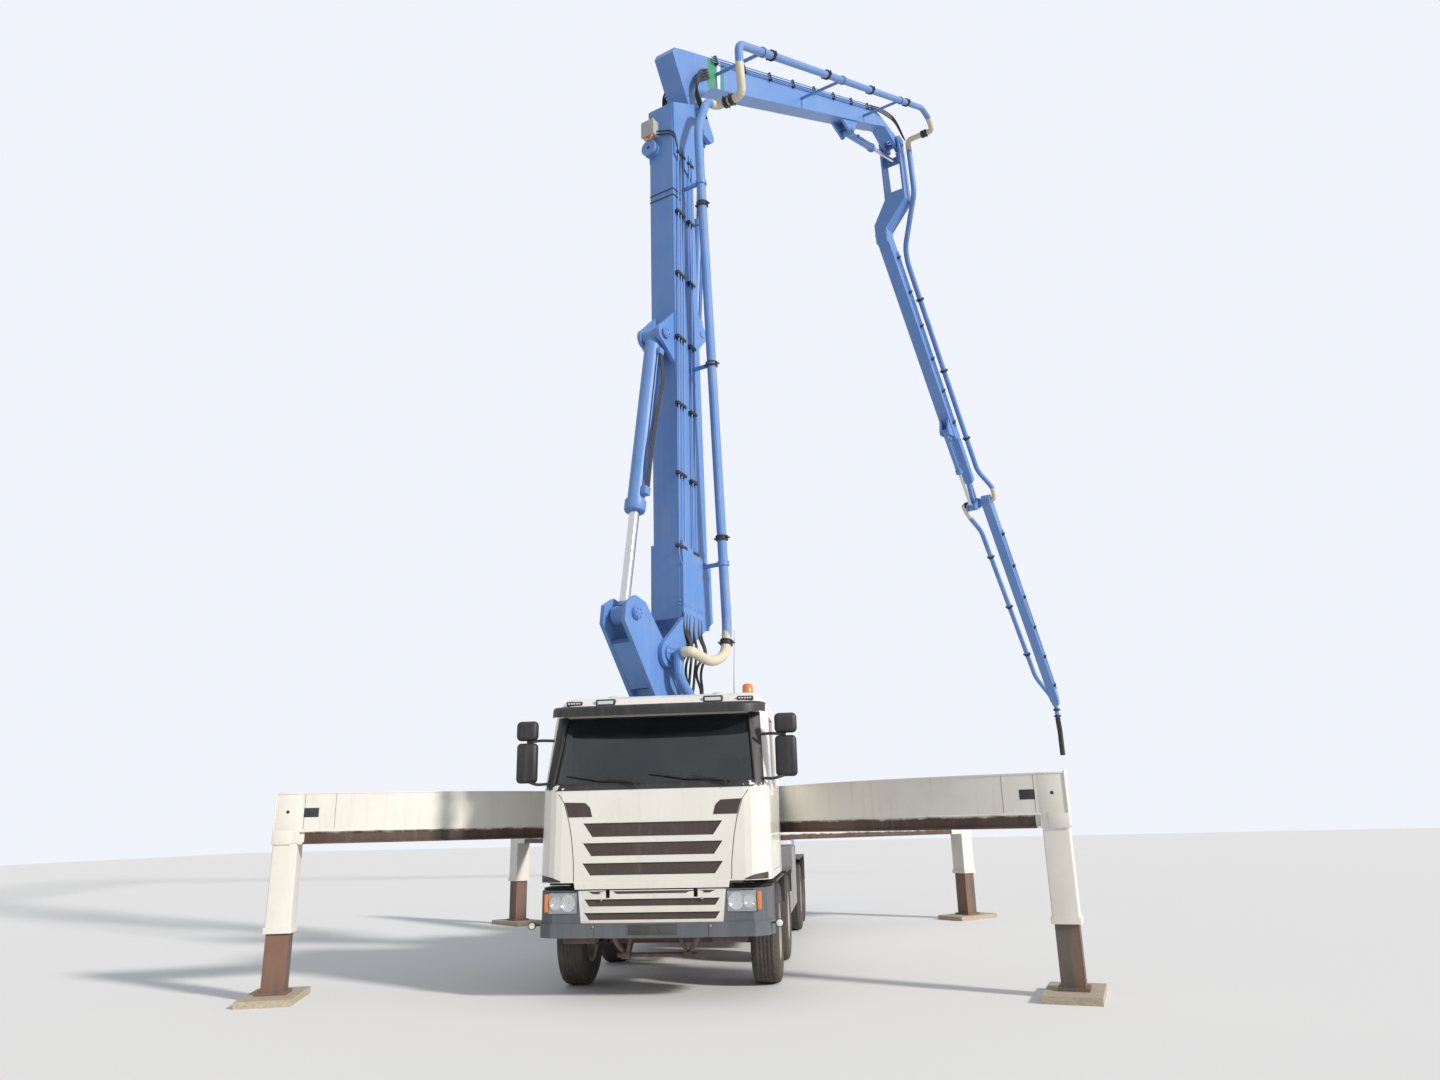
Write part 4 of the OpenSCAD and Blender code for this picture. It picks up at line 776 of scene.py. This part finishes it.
for sx, side in ((-1, "right"), (1, "left")):
    beam, opening_shade_and_lines = Parts(), Parts()
    angle = np.radians(np.linspace(SLEEVE_ANGLE, END_ANGLE, BEAM_STEPS))[:, None]
    radius, height = BEAM_SECTION.T
    beam.loft(np.stack([sx * (BEAM_CENTRE[0] + radius * np.cos(angle)), BEAM_CENTRE[1] + radius * np.sin(angle),
                        height + 0 * angle], -1))
    turn, foot = beam_frame(sx, LEG_ANGLE, LEG_RADIUS, 0.0)
    square_tube(beam, 0.130, 0.0135, 0.735, 2.127, 0.012, turn, foot)
    square_tube(beam, 0.145, 0.0285, 0.680, 0.742, 0.008, turn, foot)
    for low, high in LEG_PLATES:
        block(beam, low, high, 0.003, 2, turn, foot)
    # The black inset plate and the small round disc are painted shade: they stand for the dark inside of openings in
    # the beam's face. Two thin dark upright lines run up the face near them.
    for place in (248.9, 252.2):
        tube(opening_shade_and_lines, [beam_frame(sx, place, BEAM_FACE, z)[1] for z in (1.745, 1.93, 2.12)], 0.002, 6)
    turn, middle = beam_frame(sx, 251.45, BEAM_FACE, 1.925)
    block(opening_shade_and_lines, (-0.078, -0.004, -0.050), (0.078, 0.0015, 0.050), 0.0012, 3, turn, middle)
    turn, middle = beam_frame(sx, LEG_ANGLE, BEAM_FACE, 1.935)
    turned(opening_shade_and_lines, [(0.001, -0.004), (0.018, -0.004), (0.018, 0.0015), (0.001, 0.0015)], middle, turn[1], 20)
    beam.piece(f"outrigger_beam_{side}", front_beam_paint, f"front_beam_{side}", stands_for=(f"beam_front_{side}",))
    opening_shade_and_lines.piece(f"beam_opening_shade_and_lines_{side}", moulding, f"front_beam_{side}")

# Cab roof
ROOF_Z = 3.119
housings, lamp_faces, vents, aerial, beacon = (Parts() for _ in range(5))
for sx in (-1, 1):
    for x0, x1, z0, z1 in ((0.50, 0.72, 3.005, 3.085), (0.88, 1.06, 3.020, 3.070)):
        y = float(on_front(cab_skin, [(sx * (x0 + x1) / 2, (z0 + z1) / 2)])[0, 1])
        block(housings, (sx * x0, y - 0.030, z0), (sx * x1, y + 0.03, z1), 0.010, 3)
        if x0 < 0.8:
            panes = [(x0 + 0.02, x1 - 0.02, 0.018)]
        else:
            panes = [(x0 + 0.018 + 0.030 * k, x0 + 0.040 + 0.030 * k, 0.014) for k in range(5)]
        for left, right, rim in panes:
            block(lamp_faces, (sx * left, y - 0.034, z0 + rim), (sx * right, y - 0.028, z1 - rim), 0.0025, 2)
for x in (-0.62, 0.62):
    turned(vents, [(0.001, 0.0), (0.095, 0.0), (0.095, 0.030), (0.105, 0.034), (0.105, 0.060), (0.085, 0.072),
                   (0.001, 0.076)], (x, -2.45, ROOF_Z), UP)
tube(aerial, [(0.78, -2.40, 3.10), (0.785, -2.39, 3.40), (0.80, -2.36, 3.95)], [0.006, 0.0035, 0.002], 6)
turned(beacon, [(0.001, 0.0), (0.075, 0.0), (0.075, 0.03), (0.066, 0.04), (0.062, 0.14), (0.045, 0.165), (0.001, 0.17)],
       (0.95, -2.45, ROOF_Z), UP)
housings.piece("roof_lamp_housings", moulding, "cab")
lamp_faces.piece("roof_lamp_faces", reflector, "cab", slot="cab_white")
vents.piece("roof_vents", lamp_white, "cab", slot="cab_white")
aerial.piece("aerial", moulding, "cab")
beacon.piece("beacon", lens_orange, "cab")


# Boom fittings
def pin_head(parts, p, n, r, out):
    """A pin's end plate with its bolts, on the boom's side."""
    centre, axis = on_pin(p, out * n), SIDE * out
    turned(parts, [(0.001, -0.004), (r, -0.004), (r, 0.014), (r - 0.008, 0.022), (r * 0.45, 0.022), (r * 0.4, 0.030),
                   (0.001, 0.031)], centre, axis)
    bolt_ring(parts, (0.014, 0.0, 0.012), centre + axis * 0.022, OUT, UP, axis, r * 0.72, 6)


for body, heads in (("section_1", [(TOP1, 0.222, 0.080)]), ("turntable", [(P0, 0.292, 0.115), (EYE1, 0.243, 0.080)]),
                    ("section_2", [(P1, 0.260, 0.110), (P2, 0.285, 0.105)])):
    pins = Parts()
    for out in (-1, 1):
        for p, n, r in heads:
            pin_head(pins, p, n, r, out)
    pins.piece(f"pin_heads_{body}", boom_paint, body)

face = Parts()
slope = np.array([-0.585, 0.811])
turn = np.array([OUT * slope[0] + UP * slope[1], SIDE, OUT * slope[1] - UP * slope[0]])
block(face, (-0.02, -0.152, 0.005), (0.70, 0.152, 0.018), 0.003, 2, turn, in_boom([-1.36, 0.0, 3.46]))
block(face, (0.66, -0.152, 0.005), (0.70, 0.152, 0.060), 0.003, 2, turn, in_boom([-1.36, 0.0, 3.46]))
face.piece("turret_face_plate", boom_paint, "turntable")


def couplings(parts, a, b, count, r=0.07):
    """Pipe clamps at even places from a to b: a waisted ring with two bolted ears."""
    axis = unit(b - a)
    ear = unit(np.cross(axis, UP))
    for k in range(count):
        c = a + (b - a) * (k + 0.5) / count
        half = [(r + 0.001, 0.035), (r + 0.022, 0.035), (r + 0.026, 0.02), (r + 0.018, 0.006)]
        turned(parts, [(q, -h) for q, h in half] + half[::-1], c, axis, 24, close=True)
        for s in (-1, 1):
            turned(parts, [(0.001, -0.04), (0.014, -0.04), (0.014, 0.04), (0.001, 0.04)], c + ear * s * (r + 0.034),
                   np.cross(axis, ear), 8)


nozzle = in_boom([PT[0] + 0.26, HOSE_N, PT[1] - 0.42])
flow = unit(nozzle - on(4, L4 + 0.17, 0.15, HOSE_N))
runs = {
    1: [(on(1, .52, -.90, .60), on(1, 8.5, .48, .59), 3), (on(1, .28, -.874, .607), on(1, .40, -.887, .604), 1),
        (on_pin(P1, .76), on_pin(P1, .82), 1)],
    2: [(on(2, .3, .832, 1.15), on(2, L2 - .5, .54, 1.15), 4), (on_pin(P1, .87), on_pin(P1, .93), 1),
        (on_pin(P2, .95), on_pin(P2, .99), 1)],
    3: [(on(3, .9, .31, -.22), from_pin(P3, A3B, -.9, .30, -.22), 3), (on_pin(P2, .87), on_pin(P2, .90), 1),
        (on_pin(P3, -.66), on_pin(P3, -.70), 1)],
    4: [(on(4, 1.1, .30, -.70), on(4, L4 - .9, .30, -.60), 3), (on_pin(P3, -.75), on_pin(P3, -.79), 1),
        (nozzle - 0.30 * flow, nozzle - 0.20 * flow, 1), (nozzle - 0.10 * flow, nozzle, 1)]}
for section, places in runs.items():
    clamps = Parts()
    for a, b, count in places:
        couplings(clamps, a, b, count)
    clamps.piece(f"pipe_clamps_section_{section}", moulding, f"section_{section}")

lines, clamps = {k: Parts() for k in SECTIONS}, {k: Parts() for k in SECTIONS}


def line_bundle(section, start, end, z0, z1, n, count, pitch, clamp_count, r=0.011, face=0.22, kink=0.0):
    """Parallel oil lines beside a section, z from z0 to z1 along it; clamp blocks reach the side plate at face."""
    def height(x):
        """z = z0 + (z1 - z0) (x - start) / (end - start)."""
        return z0 + (z1 - z0) * (x - start) / (end - start)
    for lift in pitch * np.arange(count):
        lead = [on(section, start - d, z0 + lift + kink, n) for d in (0.75, 0.20)] if kink else []
        straight = [on(section, x, height(x) + lift, n) for x in (start, (start + end) / 2, end)]
        bent_tube(lines[section], lead + straight, 0.06, r)
    near = face - math.copysign(0.004, n - face)
    far = n + math.copysign(0.022, n - face)
    for x in np.linspace(start + 0.15, end - 0.15, clamp_count):
        block(clamps[section], (-0.025, near - n, -0.04), (0.025, far - n, pitch * (count - 1) + 0.04), 0.006, 2,
              section_axes(section), on(section, x, height(x), n))


line_bundle(1, 1.45, 8.3, -0.55, 0.16, 0.262, 2, 0.075, 7, kink=-0.17)
line_bundle(1, 1.45, 8.3, -0.25, 0.40, 0.262, 3, 0.070, 7, kink=-0.17)
line_bundle(2, 1.2, 9.6, 1.02, 0.80, 0.225, 3, 0.040, 8, face=0.185)
line_bundle(3, 0.5, 5.7, 0.02, -0.02, -0.305, 3, 0.045, 6, r=0.010, face=-0.35)
line_bundle(4, 1.0, 7.0, -0.03, -0.03, 0.020, 2, 0.045, 6, r=0.010, face=-0.025)
for section in SECTIONS:
    lines[section].piece(f"oil_lines_section_{section}", boom_paint, f"section_{section}")
    clamps[section].piece(f"line_clamps_section_{section}", moulding, f"section_{section}")

hoses, fittings, bracket = Parts(), Parts(), Parts()
LINE_N = 0.262
for k, z in enumerate((-0.72, -0.645, -0.42, -0.35, -0.28, -0.53)):
    sway = 0.07 * math.sin(2.1 * k)
    turned(fittings, [(0.001, -0.005), (0.019, -0.005), (0.019, 0.03), (0.015, 0.034), (0.015, 0.075), (0.001, 0.076)],
           on(1, 0.715, z, LINE_N), -section_axes(1)[0], 6)
    route = ((0.66, z, LINE_N), (0.42, z, 0.275), (0.20, z - 0.08 - sway, 0.34), (-0.14, z + 0.12 + sway, 0.37),
             (-0.42, z - 0.02 - sway, 0.35), (-0.70, z + 0.10, 0.33))
    bent_tube(hoses, [on(1, *place) for place in route], 0.16, 0.019, 10, 8)
    block(bracket, (-0.035, -0.045, -0.030), (0.035, 0.022, 0.030), 0.005, 2, section_axes(1), on(1, 0.80, z, LINE_N))
for x in (0.78, 0.83):
    tube(bracket, [on(1, x, z, 0.232) for z in (-0.78, -0.20)], 0.012, 8)
hoses.piece("hoses_foot", hose_rubber, "section_1")
fittings.piece("hose_fittings_foot", steel, "section_1")
bracket.piece("hose_bracket_foot", boom_paint, "section_1")

hoses = Parts()
for side in (1, -1):
    for o in 0.045 * np.arange(4):
        route = ((0.9, 0.72 + o, 0.21), (0.35, 0.62 + o, 0.26 + o * 0.4), (-0.05, 0.30 + o, 0.30 + o * 0.4),
                 (0.0, 0.02 - o, 0.31 + o * 0.4))
        bent_tube(hoses, [on(2, x, z, side * n) for x, z, n in route], 0.25, 0.018, 8, 8)
for o in 0.04 * np.arange(3):
    route = ((9.6, 0.80 + o, 0.225), (L2 - 1.0, 0.74 + o, 0.26 + o * 0.4), (L2 - 0.25, 0.52 + o, 0.33 + o * 0.4),
             (L2 + 0.06, 0.10 - o, 0.35 + o * 0.4))
    bent_tube(hoses, [on(2, *place) for place in route], 0.30, 0.016, 8, 8)
hoses.piece("hoses_knee", hose_rubber, "section_2")

# Cylinders
gland, whips = Parts(), Parts()
foot = on_pin(TOP1, 0.0)
stroke = unit(on_pin(EYE1, 0.0) - foot)
lift = np.cross(SIDE, stroke)
end = foot + stroke * 2.90
turned(gland, [(0.121, -0.17), (0.150, -0.15), (0.150, -0.02), (0.140, 0.0), (0.10, 0.004), (0.075, 0.012),
               (0.0735, 0.0), (0.121, -0.02)], end, stroke, 40, close=True)
bolt_ring(gland, (0.011, -0.01, 0.012), end, SIDE, lift, stroke, 0.128, 20)
for side in (-0.03, 0.03):
    q = foot + stroke * 0.30 + SIDE * 0.139 + lift * side
    bent_tube(gland, [q - SIDE * 0.05, q, q + stroke * 2.30, q + stroke * 2.38 - SIDE * 0.04], 0.05, 0.010)
for half, height, place in ((0.05, 0.06, 0.32), (0.06, 0.07, 2.62)):
    block(gland, (-half, -0.03, -half), (half, height, half), 0.008, 2, (lift, SIDE, stroke),
          foot + stroke * place + SIDE * 0.13)
gland.piece("gland_and_lines_1", boom_paint, "cylinder_1")
for o in (-0.025, 0.0, 0.025):
    q = foot + SIDE * 0.17 + lift * o
    route = ((0.36, 0.0, 0.0), (0.75, 0.06, 0.05), (1.5, 0.03, 0.0), (2.1, 0.05, -0.04), (2.56, 0.02, 0.0))
    bent_tube(whips, [q + stroke * x + SIDE * n + lift * z for x, n, z in route], 0.35, 0.012, 8, 8)
whips.piece("hoses_cylinder_1", hose_rubber, "cylinder_1")

# Number, foot and rod end in the boom plane, sideways, barrel length and radius, where its lines start, and its rod eye
CYLINDERS = (
    (2, P0 + 5.370 * along(A1) - 0.548 * across(A1), P1 + 0.450 * along(-15),
     0.0, 2.2, 0.098, 0.24, (0.105, 0.088, 0.061)),
    (3, P1 + (L2 - 3.304) * along(A2) + 0.2 * across(A2), P2 + 0.400 * along(A2 - 100),
     0.0, 1.65, 0.085, 0.55, (0.095, 0.082, 0.051)),
    (4, P3 - 2.600 * along(A3B) - 0.480 * across(A3B), P3 - 0.090 * along(A3B) - 0.430 * across(A3B),
     -0.5, 1.35, 0.075, 0.24, (0.080, 0.070, 0.045)))
eyes = [(1, on_pin(EYE1, 0.0), stroke, 0.125, 0.118, 0.071)]
for number, start, stop, n, length, r, near, eye_size in CYLINDERS:
    rings = Parts()
    foot = on_pin(start, n)
    ahead = unit(on_pin(stop, n) - foot)
    up = np.cross(SIDE, ahead)
    eyes.append((number, on_pin(stop, n), ahead, *eye_size))
    bolt_ring(rings, (0.009, -0.01, 0.010), foot + ahead * length, SIDE, up, ahead, r + 0.007, 14)
    for s in (-0.025, 0.025):
        q = foot + ahead * (near - 0.02) + SIDE * (r + 0.010) + up * s
        far = length - near - 0.18
        bent_tube(rings, [q - SIDE * 0.04, q, q + ahead * far, q + ahead * (far + 0.06) - SIDE * 0.03], 0.04, 0.008)
    block(rings, (-0.045, -0.03, -0.04), (0.045, 0.035, 0.04), 0.006, 2, (up, SIDE, ahead),
          foot + ahead * near + SIDE * r)
    rings.piece(f"gland_and_lines_{number}", boom_paint, f"cylinder_{number}")
for number, centre, ahead, r, half, rod in eyes:
    eye = Parts()
    rim = [(r * 0.52, half + 0.005), (r - 0.004, half + 0.005), (r + 0.005, half - 0.004)]
    turned(eye, [(q, -h) for q, h in rim] + rim[::-1], centre, SIDE, 40, close=True)
    turned(eye, [(rod + 0.001, -r - 0.045), (rod + 0.010, -r - 0.045), (rod + 0.014, -r - 0.038),
                 (rod + 0.014, -r + 0.012), (rod + 0.001, -r + 0.012)], centre, ahead, 32, close=True)
    eye.piece(f"rod_eye_{number}", boom_paint, f"piston_{number}")


# On the front face of section 1
def front_face(x, out=0.0, n=0.0):
    """A point x along section 1 on its front face, out from the face and n sideways; the face tapers evenly."""
    return on(1, x, -0.267 + (x - 0.6) / 8.426 * 1.006 + out, n)


run = unit(front_face(8.0) - front_face(7.0))
off_face = np.cross(run, SIDE)
off_face *= math.copysign(1.0, float(np.dot(off_face, front_face(8.0, 1.0) - front_face(8.0))))
face_axes = (SIDE, run, off_face)
STRAP_PLACE, BOX_PLACE = front_face(7.38), front_face(8.62, 0.0, -0.17)
strap, box, reel, cables, loop = (Parts() for _ in range(5))
# Two thin dark strips run along both edges of a band round section 1. The band's blue middle is left as the section's
# own face.
for y in (-0.055, 0.055):
    for x0, x1, z0, z1 in ((-0.228, 0.228, -0.003, 0.008), (-0.228, -0.219, -0.22, 0.006),
                           (0.219, 0.228, -0.22, 0.006)):
        block(strap, (x0, y - 0.010, z0), (x1, y + 0.010, z1), 0.003, 2, face_axes, STRAP_PLACE)
strap.piece("section_strap_edges", moulding, "section_1")
block(box, (-0.12, -0.14, -0.01), (0.12, 0.14, 0.12), 0.012, 3, face_axes, BOX_PLACE)
block(box, (-0.127, -0.147, 0.118), (0.127, 0.147, 0.140), 0.008, 3, face_axes, BOX_PLACE)
box.piece("section_box", wheel_paint, "section_1", slot="boom_blue")
turned(reel, [(0.03, -0.01), (0.13, -0.01), (0.14, 0.01), (0.14, 0.03), (0.10, 0.04), (0.10, 0.08), (0.14, 0.09),
              (0.14, 0.11), (0.13, 0.12), (0.03, 0.12)], front_face(8.27, 0.0, -0.17), off_face, 32, close=True)
reel.piece("section_reel", boom_paint, "section_1")
bent_tube(loop, [front_face(*place) for place in ((8.50, 0.05, -0.24), (8.42, 0.15, -0.21), (8.35, 0.14, -0.12),
                                                  (8.43, 0.15, -0.07), (8.50, 0.06, -0.10))], 0.05, 0.013)
loop.piece("section_loop", lens_orange, "section_1", slot="black_plastic")
for x in (8.56, 8.50):
    route = ((0.0, 0.05, -0.06), (-0.02, 0.03, 0.02), (-0.07, 0.025, 0.20), (-0.12, -0.03, 0.26), (-0.30, -0.10, 0.25))
    bent_tube(cables, [front_face(x + step, out, n) for step, out, n in route], 0.05, 0.012)
cables.piece("section_cables", hose_rubber, "section_1")

# Bands on the side of section 2
BAND_N, BAND_SLANT = 0.1875, 0.35
for k, (material, x0, x1) in enumerate(((green_band, 0.95, 1.25), (white_band, 1.30, 1.42), (green_band, 1.47, 1.57))):
    band = Parts()
    for out in (-1, 1):
        def stripe(u, v, x0=x0, x1=x1, out=out):
            """A slanted stripe: x = x0 + (x1 - x0) u + slant (v - 0.5), z from the box's lower edge to its upper."""
            x = x0 + (x1 - x0) * u + BAND_SLANT * (v - 0.5)
            z = (0.56 - 0.0146 * x) + (0.57 - 0.014 * x) * v
            flat = P1 + x[..., None] * along(A2) + z[..., None] * across(A2)
            return in_boom(np.stack([flat[..., 0], out * BAND_N + 0 * x, flat[..., 1]], -1))
        sheet_grid(band, stripe, np.linspace(0, 1, 3), np.linspace(0.02, 0.98, 6), 0.0015, SIDE * out)
    band.piece(f"band_{k + 1}", material, "section_2", smooth=False)


# Floor, light and camera
world = bpy.data.worlds.new("Studio")
bpy.context.scene.world = world
world.use_nodes = True
wt = world.node_tree
background = wt.nodes["Background"]
background.inputs["Color"].default_value = (0.90, 0.93, 1.0, 1)
ray = wt.nodes.new("ShaderNodeLightPath")
seen = maths(wt, "MAXIMUM", ray.outputs["Is Camera Ray"], ray.outputs["Is Glossy Ray"])
seen = maths(wt, "MAXIMUM", seen, ray.outputs["Is Transmission Ray"])
wt.links.new(remap(wt, seen, 0.0, 1.0, 0.50, 0.97), background.inputs["Strength"])

floor_mesh = bpy.data.meshes.new("floor")
floor_mesh.from_pydata([(-60, -40, 0), (60, -40, 0), (60, 90, 0), (-60, 90, 0)], [], [(0, 1, 2, 3)])
floor = bpy.data.objects.new("floor", floor_mesh)
bpy.context.scene.collection.objects.link(floor)
floor_mat = bpy.data.materials.new("Pale floor")
floor_mat.use_nodes = True
floor_shader = floor_mat.node_tree.nodes["Principled BSDF"]
floor_shader.inputs["Base Color"].default_value = (0.80, 0.80, 0.79, 1)
floor_shader.inputs["Roughness"].default_value = 0.9
floor_mesh.materials.append(floor_mat)

sun = bpy.data.lights.new("key", "SUN")
sun.energy = 3.4
sun.color = (1.0, 0.96, 0.90)
sun.angle = math.radians(6)
sun_obj = bpy.data.objects.new("key", sun)
sun_obj.matrix_world = Vector((0.80, -0.46, 0.46)).to_track_quat("Z", "Y").to_matrix().to_4x4()
bpy.context.scene.collection.objects.link(sun_obj)

yaw, pitch, roll = math.radians(6.214), math.radians(16.085), math.radians(1.312)
EYE, FOCAL_PIXELS, PHOTO_WIDTH, SENSOR = (1.931, -14.106, 1.687), 990, 1440, 36
right = np.array([math.cos(yaw), math.sin(yaw), 0])
ahead = np.array([-math.sin(yaw) * math.cos(pitch), math.cos(yaw) * math.cos(pitch), math.sin(pitch)])
up = np.cross(right, ahead)
right, up = math.cos(roll) * right - math.sin(roll) * up, math.sin(roll) * right + math.cos(roll) * up
camera = bpy.data.cameras.new("camera")
camera.lens = FOCAL_PIXELS / PHOTO_WIDTH * SENSOR
camera.sensor_width = SENSOR
camera.clip_end = 500
camera_obj = bpy.data.objects.new("camera", camera)
camera_obj.matrix_world = Matrix([(right[k], up[k], -ahead[k], EYE[k]) for k in range(3)] + [(0, 0, 0, 1)])
bpy.context.scene.collection.objects.link(camera_obj)
bpy.context.scene.camera = camera_obj
bpy.context.scene.view_settings.view_transform = "Standard"
